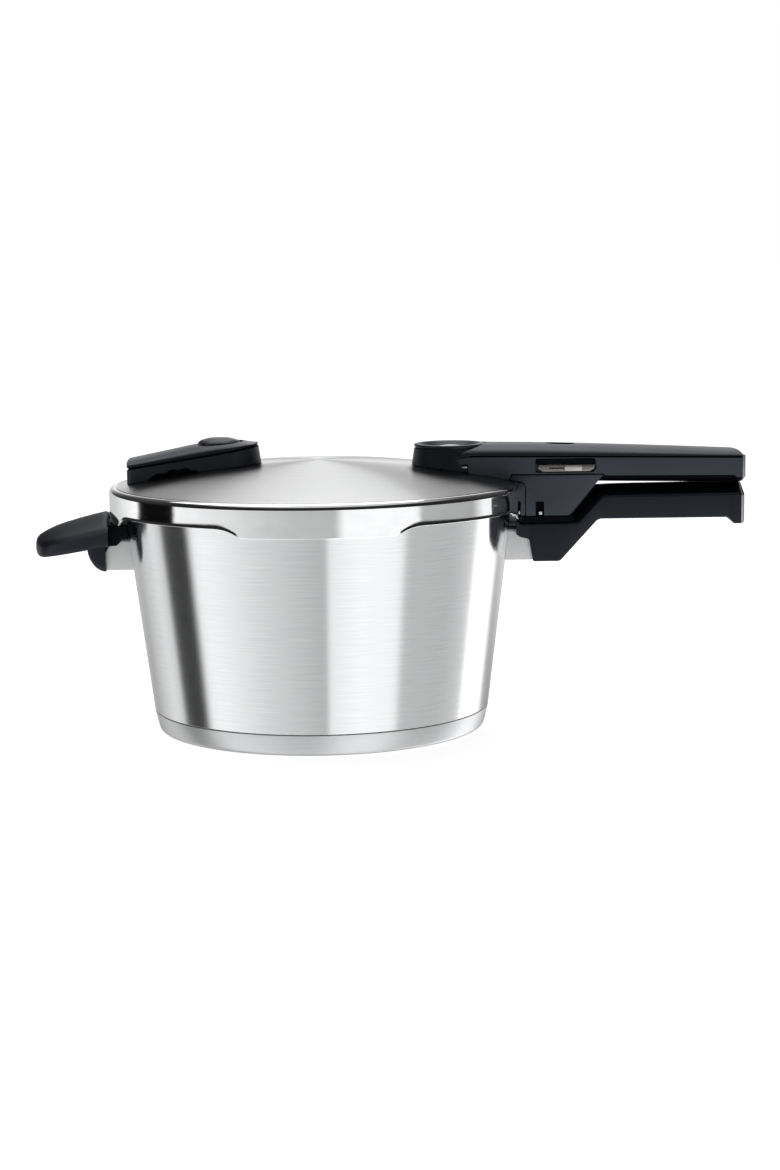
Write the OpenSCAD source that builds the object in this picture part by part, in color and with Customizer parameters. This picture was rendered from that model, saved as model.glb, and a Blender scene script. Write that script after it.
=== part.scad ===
// Stovetop pressure cooker.
// A conical steel pot with a layered base and a bayonet lid that turns on it. Two long handles lie one
// above the other, a short helper handle faces them, and the lid carries a pressure indicator, a steam
// valve under a push button, a small float valve and a sliding lock.
// The origin is the centre of the base's underside, +Z is up and +X points along the long handles.

/* [Pot] */
// Outer radius of the wall just above the base
foot_r = 98.6; // [90:0.1:105]
// Outer radius of the wall at the rim
rim_r = 113.4; // [112:0.1:114]
// Height of the pot's rim
rim_z = 131; // [130:0.5:132]
// Thickness of the steel wall
wall_t = 1.5; // [1:0.1:2]
// Height of the seam between the base cap and the wall
seam_z = 12.5; // [11:0.1:14]
// Radius of the flat face under the base
base_flat_r = 92.6; // [85:0.1:94]
// Thickness of the steel cap under the base
cap_t = 1; // [0.6:0.1:1.4]
// Thickness of the aluminium core
core_t = 7; // [5:0.5:8]
// Outer radius of the rim flange
flange_r = 115.2; // [115:0.1:115.4]
// Thickness of the rim flange
flange_t = 1.8; // [1.5:0.1:2]
// Outer radius of the four bayonet lugs on the pot
lug_r = 119.7; // [118:0.1:119.9]
// Height of a pot lug, its turned-down edge included
lug_h = 3.7; // [3:0.1:3.8]
// Angle that each lug spans
lug_angle = 30; // [20:1:32]

/* [Lid] */
// Outer radius of the lid's skirt
lid_r = 122; // [121.5:0.1:122.5]
// Radius where the dome meets the rounded rim
crease_r = 118.5; // [118:0.1:119]
// Height of that crease
crease_z = 144; // [143.5:0.1:144.5]
// Rise of the dome above the crease
dome_h = 13.1; // [12:0.1:14]
// Thickness of the lid
lid_t = 1.5; // [1:0.1:1.6]
// Lower edge of the skirt's four deep tabs
tab_z = 125; // [124.6:0.1:125.2]
// Lower edge of the skirt between the tabs
skirt_z = 129.6; // [128:0.1:131]
// Half of the angle that each deep tab spans
tab_half_angle = 24; // [18:0.5:26]
// Inner radius of the lid's inward lugs
lid_lug_r = 116; // [115.6:0.1:116.5]
// Rounding of the skirt's tab corners
tab_round = 2.2; // [1:0.1:2.6]

/* [Long handles] */
// Width of both long handles
grip_w = 38; // [36:1:40]
// Where the long handles end
grip_end_x = 248.2; // [230:0.1:260]
// Thickness of the metal end caps
end_cap_t = 2.8; // [2:0.1:4]
// Height of the joint between the lid handle's two halves, at the hub
split_z = 159.5; // [158.5:0.1:160]
// Drop of that joint per millimetre of length
split_fall = 0.0155; // [0.005:0.0005:0.02]
// Height of the latch housing's flat top
housing_top_z = 148; // [147.8:0.1:148.4]
// Underside of the latch housing
housing_z = 124.4; // [124:0.1:125]
// Height of the pot handle's platform below the latch
platform_z = 119.5; // [119:0.1:119.8]
// Top ridge of the pot handle's grip
ridge_z = 143; // [141:0.1:143.2]
// Underside of the lid handle's grip
lid_grip_z = 144.3; // [144.1:0.1:145]
// Wall thickness of the moulded handles
shell_t = 2.5; // [2:0.1:3]

/* [Lid fittings] */
// Distance of the indicator hub from the lid's axis
hub_x = 77.3; // [76:0.1:78.5]
// Radius of the hub at its top
hub_top_r = 20.7; // [20:0.1:21.5]
// Radius of the hub at its foot
hub_foot_r = 22.5; // [22:0.1:23]
// Height of the hub's top ring
hub_top_z = 165.8; // [165:0.1:166.5]
// Distance of the steam valve's button from the lid's axis
vent_x = -57.5; // [-59:0.1:-56]
// Radius of the steam button
button_r = 11.5; // [10:0.1:12]
// Highest point of the steam button
button_top_z = 171; // [169:0.1:172]
// Width of the steam valve's housing
vent_w = 38; // [36:1:40]
// Distance of the float valve from the lid's axis
float_x = -88; // [-90:0.5:-86]

/* [Mechanism] */
// Distance of the locking bolt from the lid's axis
bolt_x = 138; // [137:0.5:139]
// Radius of the locking bolt
bolt_r = 4; // [3:0.1:4.2]
// Travel of the slider towards the pot
slide_travel = 10; // [6:1:10]
// Drop of the bolt over the slider's travel
bolt_travel = 5; // [3:0.5:5]
// Gap around a sliding fit
fit_gap = 0.05; // [0.02:0.01:0.09]
// Gap between neighbouring curved faces
skin_gap = 0.3; // [0.2:0.05:0.5]

/* [Helper handle] */
// Where the helper handle ends
helper_tip_x = -167; // [-175:0.5:-160]
// Half width of the helper handle
helper_half_w = 24; // [20:1:28]

/* [Hidden] */
$fn = 96;
smooth_fn = 32;
eps = 0.01;
steel = "#c9cacc";
mirror_steel = "#dcdde0";
plastic = "#2b2e36";
plastic_dark = "#1d1f25";
silver_trim = "#a9abae";
rubber = "#55585c";
aluminium = "#b9bbbd";

dome_r = (crease_r * crease_r + dome_h * dome_h) / (2 * dome_h);
dome_c = crease_z + dome_h - dome_r;
corner_r = lid_r - crease_r;
core_top = cap_t + core_t;
half_w = grip_w / 2;
lid_body_end = grip_end_x - end_cap_t;

function dome_z(r) = dome_c + sqrt(dome_r * dome_r - r * r);
function wall_r(z) = foot_r + (rim_r - foot_r) * (z - seam_z) / (rim_z - seam_z);
function split_at(x) = split_z - split_fall * (x - 87);
function unit(v) = v / norm(v);

// A corner p between neighbours a and b, rounded by the radius p[2], as a short list of points.
corner_steps = 5;
function corner(a, p, b) =
    let (
        q = [p.x, p.y],
        u = unit([a.x, a.y] - q),
        v = unit([b.x, b.y] - q),
        half = acos(u * v) / 2,
        centre = q + unit(u + v) * p[2] / sin(half),
        from = q + u * p[2] / tan(half) - centre,
        to = q + v * p[2] / tan(half) - centre,
        start = atan2(from.y, from.x),
        turn = atan2(to.y, to.x) - start,
        sweep = turn > 180 ? turn - 360 : (turn < -180 ? turn + 360 : turn)
    )
    [for (i = [0 : corner_steps]) centre + p[2] * [cos(start + sweep * i / corner_steps),
                                                   sin(start + sweep * i / corner_steps)]];

// An outline whose points are [x, y] for a sharp corner or [x, y, radius] for a round one.
function rounded(path) =
    let (n = len(path))
    [for (i = [0 : n - 1])
        each (len(path[i]) < 3 ? [path[i]] : corner(path[(i + n - 1) % n], path[i], path[(i + 1) % n]))];

// A plate w wide across Y whose X-Z outline is the given path.
module plate(w, path) {
    rotate([90, 0, 0]) translate([0, 0, -w / 2]) linear_extrude(w) polygon(rounded(path));
}

// A bar along X from x0 to x1 whose Y-Z section is the given path.
module bar(x0, x1, path) {
    translate([x0, 0, 0]) rotate([90, 0, 90]) linear_extrude(x1 - x0) polygon(rounded(path));
}

// A box between two corners.
module box(low, high) {
    translate(low) cube(high - low);
}

// A disc or tube standing on z0.
module disc(r, z0, z1) {
    translate([0, 0, z0]) cylinder(r = r, h = z1 - z0);
}

module tube(r_out, r_in, z0, z1) {
    difference() {
        disc(r_out, z0, z1);
        disc(r_in, z0 - 1, z1 + 1);
    }
}

// A hexagonal nut of the given across-corners radius.
module hex_nut(r, bore, z0, z1) {
    difference() {
        translate([0, 0, z0]) cylinder(r = r, h = z1 - z0, $fn = 6);
        disc(bore, z0 - 1, z1 + 1);
    }
}

// A coil spring of square wire standing on z0.
module coil(r, wire, z0, z1, turns) {
    span = 130;
    steps = 4;
    translate([0, 0, z0]) linear_extrude(z1 - z0, twist = -360 * turns, slices = 18 * turns, $fn = 8)
        polygon(concat(
            [for (i = [0 : steps]) (r + wire / 2) * [cos(span * i / steps), sin(span * i / steps)]],
            [for (i = [steps : -1 : 0]) (r - wire / 2) * [cos(span * i / steps), sin(span * i / steps)]]));
}

// A screw with a round head below z0 and a plain shank up to z1.
module screw(x, y, z0, z1, shank = 2, head = 3.6, head_h = 2.2) {
    translate([x, y, 0]) {
        disc(head, z0, z0 + head_h);
        disc(shank, z0 + head_h - eps, z1);
    }
}

// The solid cone inside the pot's outer wall, grown by a gap.
module wall_cone(gap) {
    translate([0, 0, seam_z]) cylinder(r1 = foot_r + gap, r2 = rim_r + gap, h = rim_z - seam_z);
}

// Everything inside the lid's outer face, grown by a gap.
module lid_section(gap, low) {
    intersection() {
        translate([0, dome_c]) circle(r = dome_r + gap, $fn = 360);
        translate([0, low]) square([crease_r, button_top_z]);
    }
    translate([0, low]) square([lid_r + gap, crease_z - corner_r - low]);
    intersection() {
        translate([crease_r, crease_z - corner_r]) circle(r = corner_r + gap);
        translate([crease_r - eps, low]) square([lid_r, button_top_z]);
    }
}

// Points of the lid's face from its small flat centre to the skirt, moved outwards by a gap.
dome_steps = 20;
function lid_face(gap) = concat(
    [for (i = [0 : dome_steps]) let (r = crease_r * i / dome_steps, flat_r = max(r, crease_r / dome_steps))
        [r, dome_c + sqrt((dome_r + gap) * (dome_r + gap) - flat_r * flat_r)]],
    [for (a = [72 : -18 : 0]) [crease_r + (corner_r + gap) * cos(a), crease_z - corner_r + (corner_r + gap) * sin(a)]]);

function backwards(path) = [for (i = [len(path) - 1 : -1 : 0]) path[i]];

module lid_envelope(gap) {
    rotate_extrude() lid_section(gap, tab_z - 1);
}

// ---- Pot ----

module pot_section() {
    foot_in = foot_r - 1.7;
    floor_z = core_top + wall_t;
    polygon(rounded([
        [0, core_top],
        [foot_in - 2.4, core_top],
        [foot_in - 0.9, core_top + 1.5],
        [foot_in, seam_z + 0.2],
        [wall_r(seam_z + 0.2), seam_z + 0.2],
        [wall_r(rim_z - flange_t), rim_z - flange_t],
        [flange_r, rim_z - flange_t],
        [flange_r, rim_z],
        [rim_r - wall_t, rim_z, 1],
        [wall_r(floor_z) - wall_t, floor_z, 7],
        [0, floor_z]]));
}

module pot_shell() {
    color(steel) {
        rotate_extrude() pot_section();
        for (i = [0 : 3])
            rotate([0, 0, 90 * i - lug_angle / 2])
                rotate_extrude(angle = lug_angle)
                    translate([flange_r - 1, rim_z - lug_h]) square([lug_r - flange_r + 1, lug_h]);
    }
}

module base_core() {
    core_r = base_flat_r - 0.6;
    color(aluminium) rotate_extrude() polygon([
        [0, cap_t], [core_r, cap_t], [core_r + 2, cap_t + 2.8], [core_r + 3, core_top], [0, core_top]]);
}

module base_cap() {
    side_r = base_flat_r + 3.6;
    color(steel) rotate_extrude() polygon(rounded([
        [0, 0],
        [side_r - 0.6, 0, 3.4],
        [foot_r, seam_z],
        [foot_r - cap_t, seam_z],
        [side_r - cap_t - 0.5, cap_t, 2.4],
        [0, cap_t]]));
}

// An upside-down steel channel that stands out from the pot's wall along +X.
module wall_bracket(reach, half_width, z0, z1, screws) {
    sheet = 2;
    inside = half_width - sheet;
    difference() {
        box([foot_r, -half_width, z0], [reach, half_width, z1]);
        box([foot_r - 1, -inside, z0 - 1], [reach + 1, inside, z1 - sheet]);
        wall_cone(fit_gap);
        for (x = screws) translate([x, 0, 0]) disc(2.1, z1 - sheet - 1, z1 + 1);
    }
}

bracket_half_w = 14;
pot_bracket_z = [98.2, 117.8];
pot_bracket_reach = 129.4;
pot_bracket_screws = [117.3, 124.8];

module pot_handle_bracket() {
    color(mirror_steel)
        wall_bracket(pot_bracket_reach, bracket_half_w, pot_bracket_z[0], pot_bracket_z[1], pot_bracket_screws);
}

// The plastic tongue that fills a wall bracket's channel.
module bracket_tongue(x0, x1, z) {
    tongue_half_w = bracket_half_w - 2.3;
    box([x0, -tongue_half_w, z[0] + 0.3], [x1, tongue_half_w, z[1] - 2.3]);
}

// ---- Pot handle ----

grip_low_z = 122;
grip_side_z = 135.6;
pot_cap_x = 244.8;
pot_handle_end = 247.6;

// The whole grip, its metal end included.
module pot_grip_solid() {
    nose_x = 115.1;
    plate(grip_w, [
        [nose_x - 9.5, platform_z + 2], [nose_x - 9.5, platform_z - 0.6, 0.5], [nose_x, platform_z - 0.8],
        [nose_x, 113.6, 1.2], [nose_x + 2.4, 111.8, 1.2], [nose_x + 7.4, 110.6, 2], [nose_x + 9.8, 97.5, 0.8],
        [140.6, 97.5, 3], [162.8, grip_low_z, 4], [238.6, grip_low_z, 2], [240.6, 118.2, 1.4],
        [pot_handle_end - 1, 118.2, 1.4], [pot_handle_end, grip_low_z + 4], [pot_handle_end, grip_side_z, 2],
        [165.4, grip_side_z - 1, 4], [150.8, platform_z, 2], [118.6, platform_z, 1], [116.4, platform_z + 2, 1]]);
    hull() {
        plate(grip_w, [
            [151.5, platform_z], [165.4, grip_side_z - 1], [pot_handle_end, grip_side_z],
            [pot_handle_end, grip_side_z - 4], [166, grip_side_z - 6], [157, platform_z]]);
        plate(16, [
            [148, platform_z], [160.8, ridge_z - 3], [163.6, ridge_z], [pot_handle_end - 5, ridge_z],
            [pot_handle_end, ridge_z - 2.5], [pot_handle_end, grip_side_z], [170, grip_side_z]]);
    }
}

strike_x = [bolt_x - 9.5, bolt_x + 9.5];
strike_top_z = platform_z + 3.1;

module pot_handle() {
    pocket = bracket_half_w + skin_gap;
    color(plastic) difference() {
        union() {
            difference() {
                intersection() {
                    pot_grip_solid();
                    box([100, -half_w, 90], [pot_cap_x, half_w, 150]);
                }
                box([100, -pocket, 90], [pot_bracket_reach + 1, pocket, pot_bracket_z[1] + 0.1]);
            }
            bracket_tongue(113, pot_bracket_reach + 1 + eps, pot_bracket_z);
        }
        wall_cone(skin_gap);
        for (x = pot_bracket_screws) screw(x, 0, 90, 117, 2.1, 3.9, 11.2);
        translate([bolt_x, 0, 0]) disc(bolt_r + 0.4, platform_z - 8, platform_z + 1);
        for (s = [-1, 1]) translate([bolt_x + 7 * s, 0, 0]) disc(1.3, platform_z - 6, platform_z + 1);
    }
}

module pot_handle_end_cap() {
    color(silver_trim) intersection() {
        pot_grip_solid();
        box([pot_cap_x, -half_w, 90], [pot_handle_end + 1, half_w, 150]);
    }
}

module pot_handle_screws() {
    color(mirror_steel) for (x = pot_bracket_screws) screw(x, 0, pot_bracket_z[0] + 0.8, pot_bracket_z[1]);
}

module strike_plate() {
    color(plastic_dark) difference() {
        plate(17, [
            [strike_x[0], platform_z], [strike_x[0], strike_top_z, 1.2], [strike_x[1], strike_top_z, 1.2],
            [strike_x[1], platform_z]]);
        translate([bolt_x, 0, 0]) disc(bolt_r + 0.3, platform_z - 1, strike_top_z + 1);
        for (s = [-1, 1]) translate([bolt_x + 7 * s, 0, 0]) disc(1.3, platform_z - 1, strike_top_z + 1);
    }
}

module strike_screws() {
    color(mirror_steel) for (s = [-1, 1]) translate([bolt_x + 7 * s, 0, 0]) {
        disc(1.2, platform_z - 5, strike_top_z);
        disc(2, strike_top_z, strike_top_z + 0.8);
    }
}

// ---- Helper handle ----

helper_bracket_z = [95.2, 114.8];
helper_bracket_reach = 126.5;
helper_screw_x = 122;

module helper_bracket() {
    color(mirror_steel) rotate([0, 0, 180])
        wall_bracket(helper_bracket_reach, bracket_half_w, helper_bracket_z[0], helper_bracket_z[1],
                     [helper_screw_x]);
}

module helper_handle() {
    tip = helper_tip_x;
    shelf_z = 122.5;
    pocket = bracket_half_w + skin_gap;
    color(plastic) difference() {
        union() {
            difference() {
                union() {
                    // Upper paddle: a roof-shaped bar cut to a rounded tongue in plan.
                    intersection() {
                        plate(2 * helper_half_w, [
                            [-123.4, shelf_z], [-123.4, 130, 1.5], [-135, 128.4, 12], [-150, 124, 20],
                            [tip + 5, 117, 8], [tip, 108.5, 4], [tip + 4.5, 101.4, 3], [-134, 106.8],
                            [-121, 108], [-121, shelf_z]]);
                        hull() {
                            for (x = [tip + 16, -110])
                                translate([x, 0, 95]) cylinder(r = (x < -120 ? 16 : helper_half_w), h = 40,
                                                               $fn = smooth_fn);
                        }
                        roof_section();
                    }
                    // Rounded boss that closes the bracket's end.
                    intersection() {
                        plate(2 * bracket_half_w + 8, [
                            [-124, 94.4], [-130, 97.4, 4], [-134, 102, 4], [-135.4, 108], [-124, 110]]);
                        box([-140, -30, 90], [-100, 30, 112]);
                    }
                    // Shelf over the bracket, below the lid's skirt.
                    plate(2 * bracket_half_w + 8, [
                        [-124.5, shelf_z], [-106, shelf_z - 1.5], [-106, helper_bracket_z[1] + 0.4], [-115.2, 114.6],
                        [-115.6, 111.6, 1.2], [-117.4, 110, 1.2], [-121.8, 109.6, 1.5], [-124.5, 106]]);
                }
                box([-helper_bracket_reach - 1, -pocket, 90], [-100, pocket, helper_bracket_z[1] + 0.1]);
            }
            rotate([0, 0, 180]) bracket_tongue(114, helper_bracket_reach + 1 + eps, helper_bracket_z);
        }
        wall_cone(skin_gap);
        screw(-helper_screw_x, 0, 88, 114, 2.1, 3.9, 10.2);
    }
}

// Section of the helper handle: a flat-topped roof with upright sides.
module roof_section() {
    ridge = 7;
    hull() {
        for (x = [helper_tip_x - 1, -104]) {
            top = x < -120 ? 114 : 134;
            bar(x, x + 0.5, [
                [-helper_half_w, 90], [helper_half_w, 90], [helper_half_w, top - 7.5], [ridge, top],
                [-ridge, top], [-helper_half_w, top - 7.5]]);
        }
        bar(-149.5, -149, [[-helper_half_w, 117.5], [-ridge, 126.5], [ridge, 126.5], [helper_half_w, 117.5]]);
    }
}

module helper_screw() {
    color(mirror_steel) screw(-helper_screw_x, 0, helper_bracket_z[0] + 0.8, helper_bracket_z[1]);
}

// ---- Lid ----

// The part of the skirt that is cut away between two deep tabs, seen from outside.
module tab_gap() {
    side = (lid_r - 1) * sin(45 - tab_half_angle) - tab_round;
    wide = side + tab_round + 1;
    low = tab_z - 0.3;
    polygon(rounded([
        [-wide, tab_z - 5], [-wide, low], [-side, low, tab_round], [-side, skirt_z, tab_round],
        [side, skirt_z, tab_round], [side, low, tab_round], [wide, low], [wide, tab_z - 5]]));
}

module lid_shell() {
    color(mirror_steel) difference() {
        union() {
            rotate_extrude() polygon(concat(
                lid_face(0), [[lid_r, tab_z], [lid_r - lid_t, tab_z]], backwards(lid_face(-lid_t))));
            for (i = [0 : 3]) rotate([0, 0, 90 * i - lug_angle / 2])
                rotate_extrude(angle = lug_angle)
                    translate([lid_lug_r, tab_z + 0.4]) square([lid_r - lid_t - lid_lug_r + 0.5, 1.3]);
        }
        for (i = [0 : 3]) rotate([0, 0, 90 * i + 45])
            rotate([90, 0, 90]) translate([0, 0, lid_r - 20]) linear_extrude(40) tab_gap();
        translate([hub_x, 0, 0]) disc(8.1, 130, 170);
        translate([vent_x, 0, 0]) disc(6.1, 130, 170);
        translate([float_x, 0, 0]) disc(4.1, 130, 170);
    }
}

module sealing_ring() {
    outer = lid_r - lid_t - skin_gap;
    low = rim_z + 0.1;
    top = crease_z - lid_t - 1.3;
    inner = 111;
    web = 117;
    color(rubber) rotate_extrude() polygon(rounded([
        [outer, low], [outer, top - 1.4], [outer - 1.9, top], [inner, top], [inner - 0.6, top - 2.4],
        [web, top - 3], [web, low + 2.8], [inner + 0.4, low + 2.2], [inner + 0.9, low]]));
}

lid_bracket_x = [101.5, 116.5];
lid_bracket_half_w = 9;
lid_bracket_top = 154.5;

module lid_handle_bracket() {
    sheet = 1.8;
    color(steel) difference() {
        box([lid_bracket_x[0], -lid_bracket_half_w, 140], [lid_bracket_x[1], lid_bracket_half_w, lid_bracket_top]);
        box([lid_bracket_x[0] - 1, -lid_bracket_half_w + sheet, 139],
            [lid_bracket_x[1] - sheet, lid_bracket_half_w - sheet, lid_bracket_top - sheet]);
        lid_envelope(fit_gap);
        translate([lid_bracket_x[1] - 5, 0, 150.5]) rotate([0, 90, 0]) cylinder(r = 1.6, h = 10);
    }
}

module lid_bracket_screw() {
    color(mirror_steel) translate([0, 0, 150.5]) rotate([0, 90, 0]) {
        translate([0, 0, lid_bracket_x[1] - 4]) cylinder(r = 2.1, h = 2.2 - eps);
        translate([0, 0, lid_bracket_x[1] - 1.8]) cylinder(r = 1.5, h = 13);
    }
}

// ---- Lid handle ----

// The lid handle's full plan, used to trim both halves and the end cap.
module grip_plan(x0, z0, z1) {
    translate([0, 0, z0]) linear_extrude(z1 - z0) polygon(rounded([
        [x0, -half_w], [grip_end_x, -half_w, 4], [grip_end_x, half_w, 4], [x0, half_w]]));
}

// The crown over the lid handle's top: a slim cone that flattens towards the end.
module crown() {
    x0 = 70;
    x1 = 260;
    top0 = 167;
    top1 = 160.3;
    r0 = 27;
    r1 = 56;
    run = x1 - x0;
    drop = (top0 - r0) - (top1 - r1);
    tilt = atan2(drop, run);
    translate([x0, 0, top0 - r0]) rotate([0, 90 + tilt, 0])
        cylinder(r1 = r0, r2 = r1, h = norm([run, drop]), $fn = 180);
}

module lid_grip_solid() {
    intersection() {
        plate(grip_w, [
            [84, 140], [84, 170], [grip_end_x, 170], [grip_end_x, lid_grip_z - 1.4, 3],
            [grip_end_x - 5, lid_grip_z - 1.4], [grip_end_x - 7, lid_grip_z], [168, lid_grip_z],
            [163.2, housing_top_z - 0.4, 2], [163, housing_top_z], [110, housing_top_z], [100, 140]]);
        grip_plan(84, 130, 172);
        bar(80, grip_end_x + 1, [
            [-half_w, 175], [-half_w, 146.4], [-13, lid_grip_z - 1.6], [13, lid_grip_z - 1.6],
            [half_w, 146.4], [half_w, 175]]);
        crown();
    }
}

// The hub's tapered outside, grown by a gap, from below the lid up to its lip and on to the given top.
module hub_cone(gap, top) {
    low = 144;
    foot_z = 152.5;
    taper = (hub_foot_r - hub_top_r) / (hub_lip_z - foot_z);
    low_r = hub_foot_r + taper * (foot_z - low) + gap;
    top_r = hub_top_r + gap;
    translate([hub_x, 0, 0]) rotate_extrude() polygon(concat(
        [[0, low], [low_r, low], [top_r, hub_lip_z]], top > hub_lip_z ? [[top_r, top]] : [], [[0, top]]));
}

// Everything above the joint between the two halves of the lid handle.
module above_split(gap) {
    plate(60, [[60, split_at(60) + gap], [270, split_at(270) + gap], [270, 190], [60, 190]]);
}

grip_screw_x = [176, 206, 236];
slot_x = [126.2, 161.8];
slot_z = [149.4, 157.6];
cavity_half_w = half_w - shell_t;

module grip_posts(r, z0, z1) {
    for (x = grip_screw_x) translate([x, 0, 0]) disc(r, z0, z1);
}

module lid_handle_base() {
    floor_z = housing_top_z + shell_t;
    color(plastic) difference() {
        intersection() {
            lid_grip_solid();
            box([80, -half_w, 130], [lid_body_end, half_w, 180]);
        }
        above_split(0);
        hub_cone(fit_gap, 180);
        lid_envelope(skin_gap);
        box([118, -cavity_half_w, floor_z], [168, cavity_half_w, 170]);
        difference() {
            box([168 - eps, -cavity_half_w, floor_z], [240, cavity_half_w, 170]);
            grip_posts(4.2, 140, 170);
        }
        box([lid_bracket_x[0] - 3, -lid_bracket_half_w - 0.2, 140],
            [lid_bracket_x[1] + 0.2, lid_bracket_half_w + 0.2, lid_bracket_top + 0.2]);
        box([lid_bracket_x[1], -1.6, 148.9], [lid_bracket_x[1] + 14, 1.6, 152.1]);
        translate([bolt_x, 0, 0]) disc(bolt_r + 0.4, 140, 160);
        // Slanted slot for the slider in the near side wall.
        translate([0, -half_w, 0]) plate(2 * shell_t + 0.4, [
            [slot_x[0], slot_z[0]], [slot_x[1] - 2.4, slot_z[0]], [slot_x[1], slot_z[0] + 2],
            [slot_x[1] - 1.2, slot_z[1]], [slot_x[0], slot_z[1]]]);
        for (x = grip_screw_x) screw(x, 0, lid_grip_z - 1, 170, 1.6, 3.2, 3.4);
    }
}

window_x = [133.6, 151];

flag_z = [161.2, 161.8];

module lid_handle_cover() {
    color(plastic) difference() {
        intersection() {
            lid_grip_solid();
            above_split(0);
            box([80, -half_w, 130], [lid_body_end, half_w, 180]);
        }
        hub_cone(fit_gap, 180);
        box([104, -12.8, 150], [168, 12.8, 159.8]);
        box([122, -9.4, 150], [159.5, 9.4, flag_z[1] + 0.4]);
        window_hole(0.15, 150, 170);
        for (x = grip_screw_x) translate([x, 0, 0]) disc(1.3, 150, split_at(x) + 1.4);
    }
}

// The oval lock window in the cover, grown by a gap.
module window_hole(gap, z0, z1) {
    r = 4.6;
    for (x = [window_x[0] + r, window_x[1] - r]) translate([x, 0, 0]) disc(r + gap, z0, z1);
    box([window_x[0] + r, -r - gap, z0], [window_x[1] - r, r + gap, z1]);
}

module lock_window() {
    color("#3a4048") window_hole(0, 162.6, 163.5);
}

module lid_handle_end_cap() {
    color(silver_trim) intersection() {
        lid_grip_solid();
        box([lid_body_end, -half_w, 130], [grip_end_x + 1, half_w, 180]);
    }
}

module lid_handle_screws() {
    color(mirror_steel) for (x = grip_screw_x) screw(x, 0, lid_grip_z + 0.2, split_at(x) + 1.2, 1.2, 3, 2);
}

module latch_housing() {
    notch = [126.3, 131.3];
    notch_top = 132.8;
    depth = 5;
    color(plastic) difference() {
        plate(grip_w, [
            [105, 140], [105, 143.9], [110.2, housing_top_z], [162, housing_top_z, 0.6],
            [146.4, housing_z, 1.2], [117, housing_z], [117, 140]]);
        box([100, -30, housing_top_z], [170, 30, 160]);
        lid_envelope(skin_gap);
        disc(lid_r + skin_gap, 100, crease_z - corner_r);
        box([lid_bracket_x[0] - 3, -lid_bracket_half_w - 0.2, 140],
            [lid_bracket_x[1] + 0.2, lid_bracket_half_w + 0.2, 160]);
        for (s = [-1, 1]) translate([0, s * half_w, 0])
            box([notch[0], -depth, 120], [notch[1], depth, notch_top]);
        translate([bolt_x, 0, 0]) disc(bolt_r + fit_gap, 120, 160);
    }
}

module latch_pins() {
    color(mirror_steel) for (s = [-1, 1])
        translate([129.4, s * (half_w - 3), 0]) disc(1.5, housing_z + 0.4, 132.8);
}

// ---- Sliding lock ----

slide_low_z = housing_top_z + shell_t + 0.3;
knob_x = [143, 153.4];

module slot_strip() {
    color(plastic_dark) translate([0, -half_w + 1.9, 0])
        plate(0.8, [
            [slot_x[0] + 0.2, slot_z[1] - 3.4], [slot_x[1] - 0.6, slot_z[1] - 3.4], [slot_x[1] - 1.6, slot_z[1] - 0.2],
            [slot_x[0] + 0.2, slot_z[1] - 0.2]]);
}

module slide_plate() {
    low = slot_z[0] + 0.2;
    high = slot_z[1] - 3.8;
    color("#6d6a64") difference() {
        translate([0, -half_w + 1.6, 0]) plate(1.2, [
            [128, low + 1.8, 0.8], [128.6, high], [slot_x[1] - 0.8, high], [slot_x[1] - 2, low + 1.6],
            [slot_x[1] - 3.4, low], [131, low, 1.5]]);
        box([knob_x[0] - slide_travel, -half_w, low + 1], [knob_x[1] - 0.6, -half_w + 4, high - 0.8]);
    }
}

module slide_knob() {
    low = slot_z[0] + 0.5;
    high = slot_z[1] - 4;
    color(mirror_steel) {
        translate([0, -half_w + 0.1, 0]) plate(1.6, [
            [knob_x[0], low, 0.8], [knob_x[1], low, 0.8], [knob_x[1], high, 0.8], [knob_x[0], high, 0.8]]);
        box([knob_x[0] + 1.4, -half_w + 0.8, low + 1], [knob_x[1] - 1.4, -12, high - 1.2]);
    }
}

arm_z = 157.4;
arm_r = 1;

// A flat bar with an inclined slot that drives the bolt's side arm.
module slide_bar() {
    top_z = 159.3;
    rise = bolt_travel;
    slot_r = arm_r + 0.2;
    slope = atan2(rise, slide_travel);
    color(steel) difference() {
        union() {
            translate([0, -10.5, 0]) plate(3, [
                [134, slide_low_z], [134, top_z, 1], [166, top_z, 1], [166, slide_low_z]]);
            box([152, -9.1, 156.9], [158, -5.4, flag_z[1]]);
        }
        translate([0, -10.5, 0]) plate(8, [
            [160, slide_low_z + 2, 1], [160, top_z - 2, 1], [164, top_z - 2, 1], [164, slide_low_z + 2, 1]]);
        translate([bolt_x, 0, arm_z]) rotate([90, 0, 0]) {
            cylinder(r = slot_r, h = 20);
            translate([slide_travel, -rise, 0]) cylinder(r = slot_r, h = 20);
            rotate([0, 0, -slope]) translate([0, -slot_r, 0]) cube([norm([slide_travel, rise]), 2 * slot_r, 20]);
        }
    }
}

module lock_flag() {
    color("#3c8a4b") box([134, -5.4, flag_z[0]], [158, 5, flag_z[1]]);
}

module latch_bolt() {
    color(mirror_steel) {
        translate([bolt_x, 0, 0]) {
            disc(bolt_r, housing_z + 0.5, arm_z + 1.4);
            translate([0, 0, arm_z]) rotate([90, 0, 0]) cylinder(r = arm_r, h = 11.9);
        }
    }
}

// ---- Indicator hub ----

hub_floor_z = 155.5;
hub_lip_z = hub_top_z - 2.2;
hub_bore_r = 16;

module hub_housing() {
    color(plastic) difference() {
        hub_cone(0, hub_lip_z);
        lid_envelope(skin_gap);
        translate([hub_x, 0, 0]) {
            disc(hub_bore_r, hub_floor_z, 180);
            disc(8.3, 130, 180);
        }
        for (s = [-1, 1]) translate([hub_x + 3, s * 21, 0]) box([-7, -3, 140], [7, 3, 154]);
    }
}

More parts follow.
